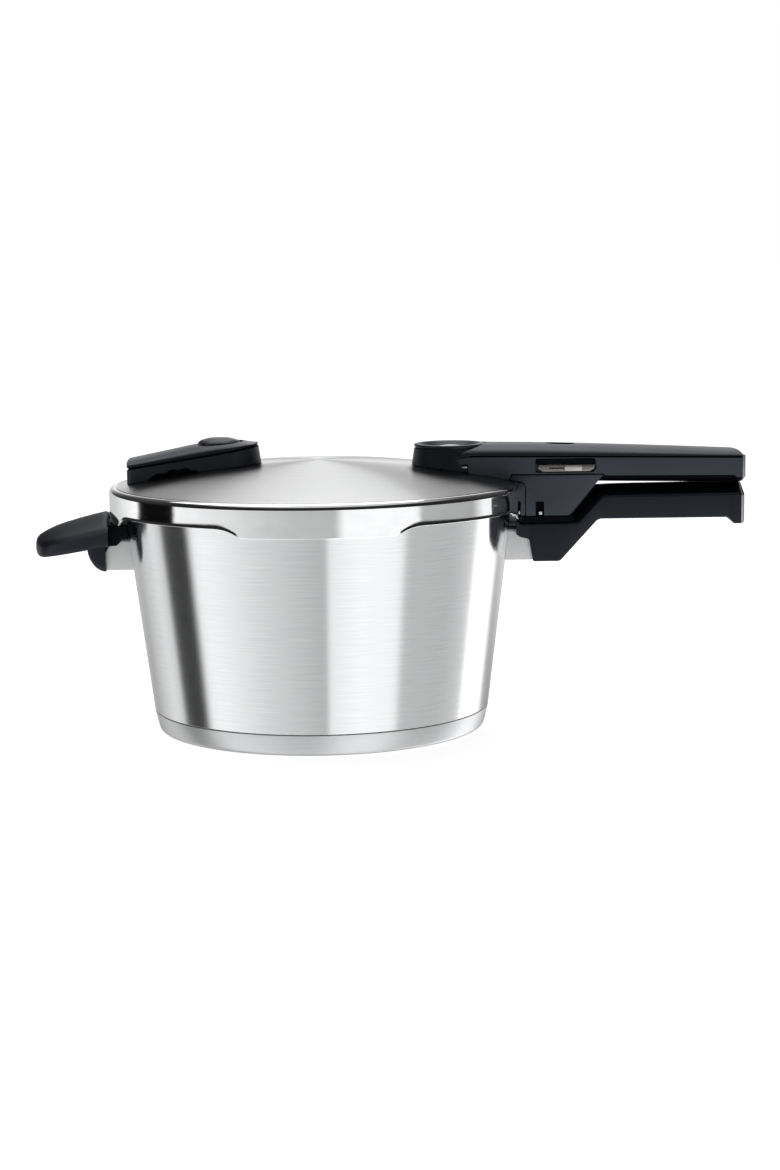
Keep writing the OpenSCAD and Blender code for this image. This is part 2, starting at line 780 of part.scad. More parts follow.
module hub_bezel() {
    color(plastic) translate([hub_x, 0, 0]) rotate_extrude() polygon(rounded([
        [13.4, hub_lip_z], [hub_top_r, hub_lip_z], [hub_top_r, hub_top_z, 1.2], [16.4, hub_top_z, 0.6],
        [13.4, hub_top_z - 1.6]]));
}

valve_low_z = 141;
valve_flange_z = [hub_floor_z, hub_floor_z + 2];
stem_r = 4;

module valve_body() {
    color(mirror_steel) translate([hub_x, 0, 0]) difference() {
        union() {
            disc(8, valve_low_z, valve_flange_z[0] + eps);
            disc(11, valve_flange_z[0], valve_flange_z[1]);
        }
        disc(stem_r + fit_gap, 130, 170);
    }
}

module valve_nut() {
    color(steel) translate([hub_x, 0, 0]) hex_nut(13, 8.1, valve_low_z + 0.5, valve_low_z + 4.6);
}

module valve_seal() {
    color(rubber) translate([hub_x, 0, 0]) tube(12, 8.1, valve_low_z + 4.6, valve_low_z + 6.8);
}

clip_z = 128;

module indicator_spring() {
    color(steel) translate([hub_x, 0, 0]) coil(5.4, 1.1, clip_z + 1.2, valve_low_z, 5);
}

module indicator_cap() {
    color(plastic_dark) translate([hub_x, 0, 0]) rotate_extrude() polygon(rounded([
        [0, 160], [13, 160], [13, 163.6, 0.8], [10.4, 164.1, 0.8], [9.8, 163.4], [7.4, 163.4], [6.8, 164.4, 0.6],
        [0, 164.9]]));
}

module indicator_stem() {
    color(mirror_steel) translate([hub_x, 0, 0]) difference() {
        disc(stem_r, clip_z - 1, 160);
        tube(stem_r + 1, stem_r - 0.5, clip_z, clip_z + 1.2);
    }
}

module indicator_clip() {
    color(steel) translate([hub_x, 0, 0]) tube(7, stem_r - 0.5, clip_z, clip_z + 1.2);
}

// ---- Steam valve housing ----

vent_half_w = vent_w / 2;
vent_out_x = -110.4;
vent_floor_z = 156.5;
vent_round_x = vent_x + 4.5;

function vent_split(x) = 154.5 + 0.155 * (x - vent_out_x);
function vent_top(x) = 158.8 + 0.2 * (x - vent_out_x);

module vent_plan(inset, z0, z1) {
    intersection() {
        union() {
            translate([vent_round_x, 0, 0]) disc(vent_half_w - inset, z0, z1);
            box([vent_out_x + inset, -vent_half_w + inset, z0], [vent_round_x, vent_half_w - inset, z1]);
        }
        box([vent_out_x + inset, -30, z0], [0, 30, z1]);
    }
}

module above_vent_split() {
    plate(60, [[-130, vent_split(-130)], [-20, vent_split(-20)], [-20, 190], [-130, 190]]);
}

module vent_base() {
    color(plastic) difference() {
        vent_plan(0, 140, 175);
        above_vent_split();
        lid_envelope(skin_gap);
        difference() {
            vent_plan(3, 130, 180);
            box([vent_x - 14, -30, 130], [0, 30, vent_floor_z]);
            for (s = [-1, 1]) translate([vent_out_x + 5.6, 13.4 * s, 0]) disc(3.6, 130, 180);
        }
        translate([vent_x, 0, 0]) disc(6.3, 130, 180);
        // Steam outlets low in both sides, with ribs between them.
        for (i = [0 : 3]) box([-92 + 7 * i, -30, 140], [-87 + 7 * i, 30, dome_z(92 - 7 * i) + 3.2]);
        for (s = [-1, 1]) translate([vent_out_x + 5.6, 13.4 * s, 0]) disc(1.1, 150, 180);
    }
}

module vent_cover() {
    peak_x = vent_x - 1;
    color(plastic) difference() {
        intersection() {
            hull() {
                intersection() {
                    vent_plan(0, 140, 175);
                    plate(60, [
                        [-130, vent_split(-130)], [-20, vent_split(-20)], [-20, vent_split(-20) + 1],
                        [-130, vent_split(-130) + 1]]);
                }
                plate(18, [
                    [vent_out_x, vent_top(vent_out_x)], [peak_x, vent_top(peak_x)], [-44, 169.4], [-38, 167.8],
                    [-40, 166], [vent_out_x, 156]]);
            }
            vent_plan(0, 140, 175);
        }
        translate([vent_x, 0, 0]) {
            disc(button_r + 0.3, 150, 180);
            translate([0, 0, 166.6]) cylinder(r1 = button_r + 1.5, r2 = button_r + 4.6, h = 3.6);
        }
        for (s = [-1, 1]) translate([vent_out_x + 5.6, 13.4 * s, 0]) disc(1.1, 150, 157.4);
    }
}

module vent_cover_screws() {
    color(mirror_steel) for (s = [-1, 1]) translate([vent_out_x + 5.6, 13.4 * s, 0]) disc(1, 151, 157.2);
}

button_low_z = 165.2;
plug_low_z = 138;

module vent_button() {
    cap_r = 26;
    color(plastic) translate([vent_x, 0, 0]) intersection() {
        disc(button_r, button_low_z, button_top_z + 1);
        translate([0, 0, button_top_z - cap_r]) sphere(r = cap_r);
    }
}

module vent_stem() {
    color(mirror_steel) translate([vent_x, 0, 0]) {
        disc(3, plug_low_z + 2, button_low_z);
        disc(5, plug_low_z, plug_low_z + 2 + eps);
    }
}

module vent_tube() {
    color(mirror_steel) translate([vent_x, 0, 0]) difference() {
        union() {
            disc(6, plug_low_z + 2.2, vent_floor_z + eps);
            disc(9, vent_floor_z, vent_floor_z + 1.5);
        }
        disc(3 + fit_gap, 130, 170);
    }
}

module vent_nut() {
    color(steel) translate([vent_x, 0, 0]) hex_nut(10, 6.1, 145, 149);
}

module vent_seal() {
    color(rubber) translate([vent_x, 0, 0]) tube(9, 6.1, 149, 151.2);
}

module vent_spring() {
    color(steel) translate([vent_x, 0, 0]) coil(4.6, 1, vent_floor_z + 1.5, button_low_z, 4);
}

// ---- Float valve ----

module float_body() {
    color(mirror_steel) translate([float_x, 0, 0]) difference() {
        union() {
            disc(4, 140, 151.3);
            disc(6.5, dome_z(-float_x - 6.5) + 0.3, 153);
        }
        disc(2, 130, 170);
    }
}

module float_nut() {
    color(steel) translate([float_x, 0, 0]) hex_nut(7, 4.1, 143.4, 147);
}

module float_pin() {
    color(mirror_steel) translate([float_x, 0, 0]) {
        disc(2 - fit_gap, 137, 153.6);
        disc(3.4, 135.2, 137.2);
        disc(2.8, 153.4, 154.6);
    }
}

pot_shell();
base_core();
base_cap();
pot_handle_bracket();
pot_handle();
pot_handle_end_cap();
pot_handle_screws();
strike_plate();
strike_screws();
helper_bracket();
helper_handle();
helper_screw();
lid_shell();
sealing_ring();
lid_handle_bracket();
lid_bracket_screw();
lid_handle_base();
lid_handle_cover();
lock_window();
lid_handle_end_cap();
lid_handle_screws();
latch_housing();
latch_pins();
slot_strip();
slide_plate();
slide_knob();
slide_bar();
lock_flag();
latch_bolt();
hub_housing();
hub_bezel();
valve_body();
valve_nut();
valve_seal();
indicator_spring();
indicator_cap();
indicator_stem();
indicator_clip();
vent_base();
vent_cover();
vent_cover_screws();
vent_button();
vent_stem();
vent_tube();
vent_nut();
vent_seal();
vent_spring();
float_body();
float_nut();
float_pin();
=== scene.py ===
"""Looks of a stovetop pressure cooker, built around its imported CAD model.

Shapes are written in millimetres and become metres when a mesh is made. +X points along the long
handles, +Z is up, and the origin is the centre of the base's underside, as in the CAD model.
"""

import math

import bmesh
import bpy
from mathutils import Matrix, Vector


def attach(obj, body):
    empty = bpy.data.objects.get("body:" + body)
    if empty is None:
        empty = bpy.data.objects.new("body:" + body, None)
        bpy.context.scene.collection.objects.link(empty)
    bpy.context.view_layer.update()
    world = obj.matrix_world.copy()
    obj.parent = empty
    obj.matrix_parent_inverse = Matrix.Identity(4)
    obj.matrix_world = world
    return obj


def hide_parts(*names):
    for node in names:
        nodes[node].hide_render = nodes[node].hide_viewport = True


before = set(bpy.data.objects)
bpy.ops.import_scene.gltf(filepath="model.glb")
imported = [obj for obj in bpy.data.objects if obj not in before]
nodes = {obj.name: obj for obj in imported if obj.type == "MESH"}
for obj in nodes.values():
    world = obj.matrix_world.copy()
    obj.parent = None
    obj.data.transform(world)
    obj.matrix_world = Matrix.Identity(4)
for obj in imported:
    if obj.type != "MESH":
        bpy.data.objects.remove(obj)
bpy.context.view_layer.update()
scene = bpy.context.scene

MM = 0.001
TURN = 2 * math.pi


# ---- Shapes in millimetres, from the CAD model's own dimensions ----

LID_R = 122.0                       # the lid's skirt
CREASE_R, CREASE_Z = 118.5, 144.0   # where the dome ends
DOME_H = 13.1
DOME_R = (CREASE_R**2 + DOME_H**2) / (2 * DOME_H)
DOME_C = CREASE_Z + DOME_H - DOME_R
SHOULDER_R = LID_R - CREASE_R       # the round between the dome and the skirt
SHOULDER_Z = CREASE_Z - SHOULDER_R
FOOT_R, SEAM_Z = 98.6, 12.5         # the wall where it meets the base
RIM_R, RIM_Z = 113.4, 131.0
HUB_X, BOLT_X, VENT_X, FLOAT_X = 77.3, 138.0, -57.5, -88.0
HALF_W = 19.0                       # half the width of the handles and of the steam housing
BRACKET_HALF, BRACKET_SHEET, BRACKET_GAP = 14.0, 2.0, 0.15
LONG_BRACKET_TOP, SHORT_BRACKET_TOP = 117.8, 114.8
NEARLY_STRAIGHT = math.radians(89.5)


def dome_z(r):
    """Height of the lid's outer face at a radius inside its crease."""
    return DOME_C + math.sqrt(DOME_R**2 - r * r)


def wall_r(z):
    """Outer radius of the pot's wall at a height."""
    return FOOT_R + (RIM_R - FOOT_R) * (z - SEAM_Z) / (RIM_Z - SEAM_Z)


def split_at(x):
    """Height of the joint between the lid handle's two halves."""
    return 159.5 - 0.0155 * (x - 87)


def smooth(t):
    t = min(1.0, max(0.0, t))
    return t * t * (3 - 2 * t)


def lerp(a, b, t):
    return a + (b - a) * t


def interp(path, x):
    """Height of a polyline, whose x never falls, at x."""
    if x <= path[0][0]:
        return path[0][1]
    for (x0, z0), (x1, z1) in zip(path, path[1:]):
        if x <= x1:
            return z1 if x1 == x0 else lerp(z0, z1, (x - x0) / (x1 - x0))
    return path[-1][1]


def rounded(path, steps=5, closed=True):
    """An outline whose points are (x, y) for a sharp corner or (x, y, radius) for a round one."""
    out, n = [], len(path)
    for i, p in enumerate(path):
        if len(p) < 3 or not closed and i in (0, n - 1):
            out.append((p[0], p[1]))
            continue
        q = Vector(p[:2])
        u = (Vector(path[i - 1][:2]) - q).normalized()
        v = (Vector(path[(i + 1) % n][:2]) - q).normalized()
        half = math.acos(max(-1.0, min(1.0, u.dot(v)))) / 2
        if half > NEARLY_STRAIGHT:
            out += [(q.x, q.y)] * (steps + 1)
            continue
        centre = q + (u + v).normalized() * p[2] / math.sin(half)
        a = q + u * p[2] / math.tan(half) - centre
        b = q + v * p[2] / math.tan(half) - centre
        start, sweep = math.atan2(a.y, a.x), math.atan2(b.y, b.x) - math.atan2(a.y, a.x)
        sweep = (sweep + math.pi) % TURN - math.pi
        for k in range(steps + 1):
            t = start + sweep * k / steps
            out.append((centre.x + p[2] * math.cos(t), centre.y + p[2] * math.sin(t)))
    return out


# ---- Mesh code ----

def solid(name, verts, faces, sharp=28):
    """A mesh object in metres from points in millimetres, with outward normals."""
    mesh = bpy.data.meshes.new(name)
    mesh.from_pydata([Vector(v) * MM for v in verts], [], faces)
    bm = bmesh.new()
    bm.from_mesh(mesh)
    bmesh.ops.remove_doubles(bm, verts=bm.verts, dist=1e-6)
    bmesh.ops.dissolve_degenerate(bm, edges=bm.edges, dist=1e-7)
    bmesh.ops.recalc_face_normals(bm, faces=bm.faces)
    bm.to_mesh(mesh)
    bm.free()
    obj = bpy.data.objects.new(name, mesh)
    scene.collection.objects.link(obj)
    shade(obj, sharp)
    return obj


def shade(obj, sharp):
    """Smooth shading, with an edge kept sharp where its faces turn by more than an angle."""
    obj.data.polygons.foreach_set("use_smooth", [True] * len(obj.data.polygons))
    obj.data.set_sharp_from_angle(angle=math.radians(sharp))


def rings(loops, closed_loop=False):
    """Points and faces that join equal rings of points and close both ends.

    closed_loop joins the last ring to the first instead.
    """
    n, count = len(loops[0]), len(loops)
    verts, faces = [p for ring in loops for p in ring], []
    for i in range(count if closed_loop else count - 1):
        a, b = i * n, (i + 1) % count * n
        faces += [(a + k, a + (k + 1) % n, b + (k + 1) % n, b + k) for k in range(n)]
    if not closed_loop:
        faces += [tuple(range(n)), tuple(range((count - 1) * n, count * n))]
    return verts, faces


def revolve(profile, segments=192, centre=(0, 0)):
    """A closed (r, z) outline turned about the vertical axis through a centre."""
    loops = []
    for i in range(segments):
        c, s = math.cos(TURN * i / segments), math.sin(TURN * i / segments)
        loops.append([(centre[0] + max(r, 0) * c, centre[1] + max(r, 0) * s, z)
                      for r, z in profile])
    return rings(loops, closed_loop=True)


def prism(outline, y0, y1):
    """An X-Z outline stretched across Y."""
    return rings([[(x, y0, z) for x, z in outline], [(x, y1, z) for x, z in outline]])


def block(x0, x1, y0, y1, z0, z1):
    return prism([(x0, z0), (x1, z0), (x1, z1), (x0, z1)], y0, y1)


def column(outline, z0, z1):
    """An X-Y outline stretched up Z."""
    return rings([[(x, y, z0) for x, y in outline], [(x, y, z1) for x, y in outline]])


def sweep(name, xs, section, sharp=28):
    """A bar along X through the closed Y-Z section at each x."""
    return solid(name, *rings([[(x, y, z) for y, z in section(x)] for x in xs]), sharp=sharp)


def arc_block(profile, middle, half):
    """Points and faces of an outline turned through a short arc, its ends drawn in a little."""
    loops, steps = [], 14
    centre = [sum(p[i] for p in profile) / len(profile) for i in (0, 1)]
    for i in range(steps + 1):
        angle = math.radians(middle + half * (2 * i / steps - 1))
        shrink = 0.8 if i in (0, steps) else 1.0
        loops.append([(lerp(centre[0], r, shrink) * math.cos(angle),
                       lerp(centre[0], r, shrink) * math.sin(angle),
                       lerp(centre[1], z, shrink)) for r, z in profile])
    return rings(loops)


def bevel(obj, width, segments=3, angle=30):
    """Rounds the edges that are sharper than an angle."""
    bm = bmesh.new()
    bm.from_mesh(obj.data)
    edges = [e for e in bm.edges
             if e.is_manifold and e.calc_face_angle(0) > math.radians(angle)]
    bmesh.ops.bevel(bm, geom=edges, offset=width * MM, segments=segments, profile=0.5,
                    affect="EDGES", clamp_overlap=True)
    bm.to_mesh(obj.data)
    bm.free()
    shade(obj, 40)
    return obj


def carve(obj, *cutters, sharp=28):
    """Cuts other solids out of an object, and removes them."""
    for tool in cutters:
        m = obj.modifiers.new("cut", "BOOLEAN")
        m.operation, m.solver, m.object = "DIFFERENCE", "EXACT", tool
        bpy.context.view_layer.update()
        depsgraph = bpy.context.evaluated_depsgraph_get()
        cut = bpy.data.meshes.new_from_object(obj.evaluated_get(depsgraph))
        obj.modifiers.remove(m)
        obj.data = cut
        bpy.data.objects.remove(tool)
    shade(obj, sharp)


def cutter(shape):
    return solid("cutter", *shape)


def bore(x, r, z0, z1, sides=32):
    """A cutter for a round upright hole on the X axis."""
    return cutter(column([(x + r * math.cos(TURN * k / sides), r * math.sin(TURN * k / sides))
                          for k in range(sides)], z0, z1))


def wall_cutter(gap, high):
    """A cutter for the pot's wall, grown by a gap, up to a height."""
    low = 80
    return cutter(revolve([(0, low), (wall_r(low) + gap, low), (wall_r(high) + gap, high),
                           (0, high)]))


def bracket_cutter(x0, x1, bracket_top):
    """A cutter that leaves room for a handle's steel bracket."""
    half = BRACKET_HALF + BRACKET_GAP
    return cutter(block(x0, x1, -half, half, 90, bracket_top + BRACKET_GAP))


def lid_cutter(gap):
    """A cutter for everything inside the lid's outer face, grown by a gap."""
    low, r = 60, SHOULDER_R + gap
    profile = [(0, low), (0, dome_z(0) + gap)]
    profile += [(x, dome_z(x) + gap) for x in (20, 40, 60, 80, 90, 100, 110, CREASE_R)]
    profile += [(CREASE_R + r * math.cos(a), SHOULDER_Z + r * math.sin(a))
                for a in map(math.radians, (70, 50, 30, 15, 0))]
    profile += [(LID_R + gap, low)]
    return cutter(revolve(profile, 240))


def paint(obj, choose):
    """Sets each face's material from its centre in millimetres and its normal."""
    for f in obj.data.polygons:
        f.material_index = choose(f.center / MM, f.normal)


def piece(obj, body, slot, material, *replaced):
    """Gives a mesh its body, its looks and the CAD nodes it stands for; its slot argument is not
    used.
    """
    obj.data.materials.clear()
    for m in material if isinstance(material, (list, tuple)) else [material]:
        obj.data.materials.append(m)
    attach(obj, body)
    if replaced:
        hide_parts(*replaced)


# ---- Materials ----

NOISE_LOW, NOISE_HIGH = 0.3, 0.7    # the range that most of a noise texture lies in


class Tree:
    """A short way to write a node tree."""

    def __init__(self, tree):
        self.tree = tree

    def add(self, kind, inputs=(), **settings):
        node = self.tree.nodes.new(kind)
        for key, value in settings.items():
            setattr(node, key, value)
        for key, value in dict(inputs).items():
            self.feed(node.inputs[key], value)
        return node

    def feed(self, socket, value):
        if isinstance(value, bpy.types.NodeSocket):
            self.tree.links.new(value, socket)
        else:
            socket.default_value = value

    def math(self, operation, a, b=0.0):
        return self.add("ShaderNodeMath", {0: a, 1: b}, operation=operation).outputs[0]

    def remap(self, value, from_low, from_high, low=0.0, high=1.0):
        return self.add("ShaderNodeMapRange", {
            "Value": value, "From Min": from_low, "From Max": from_high,
            "To Min": low, "To Max": high}).outputs[0]

    def mix(self, share, a, b):
        return self.add("ShaderNodeMix", {0: share, 6: a, 7: b}, data_type="RGBA").outputs[2]


class Nodes(Tree):
    """A material's tree, with its main shader and the object's own coordinates."""

    def __init__(self, name):
        self.material = bpy.data.materials.new(name)
        self.material.use_nodes = True
        super().__init__(self.material.node_tree)
        self.shader = self.tree.nodes["Principled BSDF"]
        self.coord = self.add("ShaderNodeTexCoord").outputs["Object"]

    def noise(self, vector, scale, detail=2.0, rough=0.5):
        return self.add("ShaderNodeTexNoise", {
            "Vector": vector, "Scale": scale, "Detail": detail, "Roughness": rough}).outputs["Fac"]

    def ramp(self, value, low, high):
        return self.remap(value, NOISE_LOW, NOISE_HIGH, low, high)

    def tint(self, value, low, high):
        return self.mix(self.ramp(value, 0.0, 1.0), (*low, 1), (*high, 1))

    def blend(self, a, b, share):
        """Adds two values, the first with its share and the second with the rest."""
        return self.math("ADD", self.math("MULTIPLY", a, share),
                         self.math("MULTIPLY", b, 1 - share))

    def scaled(self, x, y, z):
        return self.add("ShaderNodeMapping", {
            "Vector": self.coord, "Scale": (x, y, z)}).outputs[0]

    def polar(self, around, out, up):
        """Cylinder coordinates about Z: angle, radius and height, each with its own scale."""
        x, y, z = self.add("ShaderNodeSeparateXYZ", {0: self.coord}).outputs
        angle = self.math("ARCTAN2", y, x)
        radius = self.math("SQRT", self.math("ADD", self.math("MULTIPLY", x, x),
                                             self.math("MULTIPLY", y, y)))
        return self.add("ShaderNodeCombineXYZ", {
            0: self.math("MULTIPLY", angle, around), 1: self.math("MULTIPLY", radius, out),
            2: self.math("MULTIPLY", z, up)}).outputs[0]

    def set(self, **values):
        """Sets or links the main shader's sockets, named in lower case with underscores."""
        for key, value in values.items():
            label = key.replace("_", " ").title().replace("Ior", "IOR")
            self.feed(self.shader.inputs[label], value)

    def bump(self, height, distance, strength=1.0):
        self.set(normal=self.add("ShaderNodeBump", {
            "Height": height, "Distance": distance, "Strength": strength}).outputs[0])
        return self

    def radial_tangent(self):
        self.set(tangent=self.add("ShaderNodeTangent", direction_type="RADIAL",
                                  axis="Z").outputs[0])
        return self


def brushed(name, scales, low, high, rough, aniso, bump=6e-6):
    """Steel with fine lines turned about Z; scales are the noise's around, outwards and upwards."""
    m = Nodes(name)
    around, out, up = scales
    lines = m.noise(m.polar(around, out, up), 1.0, 3.0, 0.6)
    broad = m.noise(m.polar(around * 0.4, out * 0.08, up * 0.08), 1.0, 2.0)
    m.set(base_color=m.tint(lines, low, high), roughness=m.ramp(m.blend(lines, broad, 0.7), *rough),
          metallic=1.0, anisotropic=aniso, anisotropic_rotation=0.25)
    return m.radial_tangent().bump(lines, bump).material


def polished(name, low, high, rough=(0.045, 0.10), scale=60.0):
    """Mirror steel with faint wiping marks."""
    m = Nodes(name)
    marks = m.noise(m.scaled(1, 1, 2.2), scale, 4.0, 0.6)
    m.set(base_color=m.tint(marks, low, high), roughness=m.ramp(marks, *rough), metallic=1.0)
    return m.bump(m.noise(m.coord, scale * 0.3, 1.0), 0.00002, 0.25).material


def moulded(name, low, high, rough=(0.36, 0.5), grain=2600.0, depth=12e-6, coat=0.0, gloss=0.48):
    """Moulded plastic: a fine even grain, with a slow drift of tone and gloss."""
    m = Nodes(name)
    drift = m.noise(m.coord, 22.0, 3.0, 0.55)
    fine = m.noise(m.coord, grain, 2.0, 0.5)
    m.set(base_color=m.tint(drift, low, high), roughness=m.ramp(m.blend(drift, fine, 0.6), *rough),
          specular_ior_level=gloss, specular_tint=(0.82, 0.88, 1.0, 1),
          coat_weight=coat, coat_roughness=0.15)
    return m.bump(fine, depth).material


def satin(name, low, high, rough, stretch=(6, 400, 400)):
    """Metal with straight fine lines; the least stretched axis is the one they run along."""
    m = Nodes(name)
    lines = m.noise(m.scaled(*stretch), 4.0, 3.0, 0.6)
    m.set(base_color=m.tint(lines, low, high), roughness=m.ramp(lines, *rough), metallic=1.0)
    return m.bump(lines, 5e-6).material


WALL = brushed("wall_steel", (4.0, 0.0, 2300.0), (0.61, 0.615, 0.622), (0.69, 0.695, 0.70),
               (0.15, 0.19), 0.95, 1.6e-6)
BASE = brushed("base_steel", (4.0, 0.0, 2300.0), (0.62, 0.625, 0.632), (0.70, 0.705, 0.71),
               (0.38, 0.45), 0.5, 1.6e-6)
DOME = brushed("dome_steel", (2.0, 1700.0, 0.0), (0.50, 0.502, 0.508), (0.58, 0.582, 0.586),
               (0.28, 0.33), 0.93, 1.8e-6)
INSIDE = brushed("inside_steel", (6.0, 900.0, 1800.0), (0.58, 0.58, 0.585), (0.68, 0.68, 0.685),
                 (0.34, 0.46), 0.4)
MIRROR = polished("mirror_steel", (0.80, 0.805, 0.812), (0.88, 0.884, 0.89))
BRACKET = polished("bracket_steel", (0.86, 0.865, 0.875), (0.92, 0.925, 0.93), (0.36, 0.46))
FITTING = polished("fitting_steel", (0.62, 0.62, 0.63), (0.74, 0.74, 0.75), (0.14, 0.24), 160.0)
PLASTIC = moulded("handle_plastic", (0.0085, 0.0095, 0.0135), (0.0125, 0.014, 0.019),
                  (0.32, 0.44))
LOWER_PLASTIC = moulded("lower_plastic", (0.0058, 0.0068, 0.0105), (0.0088, 0.0102, 0.015),
                        (0.34, 0.46), gloss=0.28)
SIDE_PLASTIC = moulded("side_plastic", (0.030, 0.034, 0.043), (0.038, 0.043, 0.053),
                       (0.36, 0.48), gloss=0.4)
# Near-black plastic that paints shade: under the handles, in the grooves between their halves,
# round the latch, on the helper's shelf, on the rest and on the outlets' baffle. The slot's band
# wears it as its own black.
SHADE = moulded("shade_plastic", (0.003, 0.0033, 0.0042), (0.004, 0.0044, 0.0055),
                (0.5, 0.6), gloss=0.06)
DARK = moulded("dark_plastic", (0.004, 0.0045, 0.006), (0.006, 0.0068, 0.009),
               (0.3, 0.42), 1800.0)
TRIM = satin("silver_trim", (0.28, 0.285, 0.295), (0.38, 0.385, 0.395), (0.28, 0.38), (300, 30, 8))
BRONZE = satin("slider_metal", (0.20, 0.19, 0.175), (0.30, 0.285, 0.262), (0.3, 0.42))
KNOB = satin("knob_metal", (0.50, 0.49, 0.475), (0.62, 0.61, 0.595), (0.3, 0.42), (8, 300, 300))
CORE = satin("core_aluminium", (0.55, 0.55, 0.56), (0.66, 0.66, 0.67), (0.35, 0.5), (50, 50, 600))
RUBBER = moulded("seal_rubber", (0.10, 0.105, 0.11), (0.14, 0.145, 0.15), (0.5, 0.65),
                 1500.0, 20e-6)
FLAG = moulded("flag_plastic", (0.03, 0.20, 0.05), (0.045, 0.26, 0.07))
WINDOW = moulded("window_plastic", (0.012, 0.014, 0.017), (0.02, 0.022, 0.026), (0.08, 0.14),
                 900.0, 2e-6, 0.6)

# The looks of the CAD nodes that are shown as they are, by their material slot.
SLOTS = {
    "pot_steel": INSIDE, "lid_steel": INSIDE, "polished_steel": FITTING, "aluminium_core": CORE,
    "handle_plastic": PLASTIC, "dark_plastic": DARK, "window_plastic": WINDOW,
    "flag_plastic": FLAG, "silver_trim": TRIM, "slider_metal": BRONZE, "seal_rubber": RUBBER,
}


# ---- Pot ----

def pot_face(c, n):
    if c.z > 128.9:
        return 2
    return 0 if math.hypot(c.x, c.y) > wall_r(c.z) - 0.6 and c.z > 12 else 1


pot = solid("pot_body", *revolve(rounded([
    (0, 8), (94.4, 8, 1), (96.8, 12.75), (wall_r(12.75), 12.75, 0.4), (wall_r(129.2), 129.2, 0.5),
    (115.2, 129.2, 0.4), (115.2, 131, 0.7), (111.9, 131, 1.2), (wall_r(9.5) - 1.5, 9.5, 7),
    (0, 9.5)]), 288))
piece(pot, "pot", "pot_steel", [WALL, INSIDE, MIRROR], "pot_shell")
paint(pot, pot_face)
for k in range(4):
    lug = solid(f"pot_lug_{k}", *arc_block(rounded([
        (114.6, 127.3), (119.7, 127.3, 0.9), (119.7, 131, 1.4), (114.6, 131)]), 90 * k, 15))
    piece(lug, "pot", "pot_steel", MIRROR)

cap = solid("base_shell", *revolve(rounded([
    (0, 0), (60, 0), (60.6, 0.35, 0.3), (66, 0.35, 0.3), (66.6, 0), (95.6, 0, 3.4),
    (98.6, 12.5, 0.4), (97.6, 12.5), (94.7, 1, 2.4), (0, 1)]), 288))
piece(cap, "pot", "pot_steel", [BASE, DOME], "base_cap")
paint(cap, lambda c, n: 1 if n.z < -0.8 else 0)


def bracket(name, side, reach, z0, z1, node):
    """A polished steel channel: a rounded arch in section that grows out of the wall."""
    half, inner, roof = BRACKET_HALF, BRACKET_HALF - BRACKET_SHEET, z1 - BRACKET_SHEET
    path = rounded([(-half, z0), (-half, z1, 3.2), (half, z1, 3.2), (half, z0),
                    (inner, z0), (inner, roof, 1.4), (-inner, roof, 1.4), (-inner, z0)])
    obj = solid(name, *rings([[(side * x, y, z) for y, z in path] for x in (96, reach)]))
    carve(obj, wall_cutter(0.05, 125))
    piece(obj, "pot", "polished_steel", BRACKET, node)


bracket("long_bracket", 1, 129.4, 98.2, LONG_BRACKET_TOP, "pot_handle_bracket")
bracket("short_bracket", -1, 125.0, 95.2, SHORT_BRACKET_TOP, "helper_bracket")


def stations(*paths, ends, step=6.0):
    """The x values between the ends where any path bends, with none further apart than a step."""
    xs = sorted({round(p[0], 3) for path in paths for p in path if ends[0] <= p[0] <= ends[1]}
                | {round(e, 3) for e in ends})
    out = [xs[0]]
    for x in xs[1:]:
        n = max(1, math.ceil((x - out[-1]) / step))
        out += [lerp(out[-1], x, k / n) for k in range(1, n + 1)] if x - out[-1] > 0.02 else []
    return out


def end_inset(x, end, radius):
    """How far a rounded end has drawn in at x, for an end at a larger x."""
    t = x - (end - radius)
    return radius - math.sqrt(max(0.0, radius**2 - t * t)) if t > 0 else 0.0


CAP_EDGE_R, CAP_LIP = 1.6, 0.1      # a metal end cap's round edge, and the length of its first step


def cap_stations(start, end):
    return [start, start + 2 * CAP_LIP] + [
        end - CAP_EDGE_R * (1 - math.sin(math.radians(a))) for a in range(0, 91, 15)]


def cap_shrink(x, start):
    """An end cap starts below the handle's skin, and then stands just proud of it."""
    return 0.15 if x < start + CAP_LIP else -0.05


# ---- Pot handle ----

POT_END, POT_CAP_X = 247.6, 245.5
GRIP_LOW = rounded([
    (105.6, 119.2), (107, 118.9), (115.1, 118.7), (115.15, 113.4, 1.0), (117.6, 111.8, 1.2),
    (122.6, 110.6, 1.8), (124.9, 97.5, 0.8), (140.4, 97.5, 3), (162.8, 122, 5), (238.4, 122, 2.4),
    (241.4, 118.2, 2), (POT_END, 118.2)], closed=False)
GRIP_SIDE = rounded([
    (105.6, 121.0), (107, 121.5, 0.5), (115.6, 121.4, 0.6), (117.6, 119.6, 0.8), (150.8, 119.6, 4),
    (165.2, 135.1, 5), (172, 135.6), (POT_END, 136.2)], closed=False)
GRIP_RIDGE = rounded([
    (105.6, 121.0), (107, 121.5, 0.5), (115.6, 121.4, 0.6), (117.6, 119.6, 0.8), (144.9, 119.6, 3),
    (162.4, 140.5, 3), (175, 140.9), (223, 141.3), (POT_END, 141.3)], closed=False)


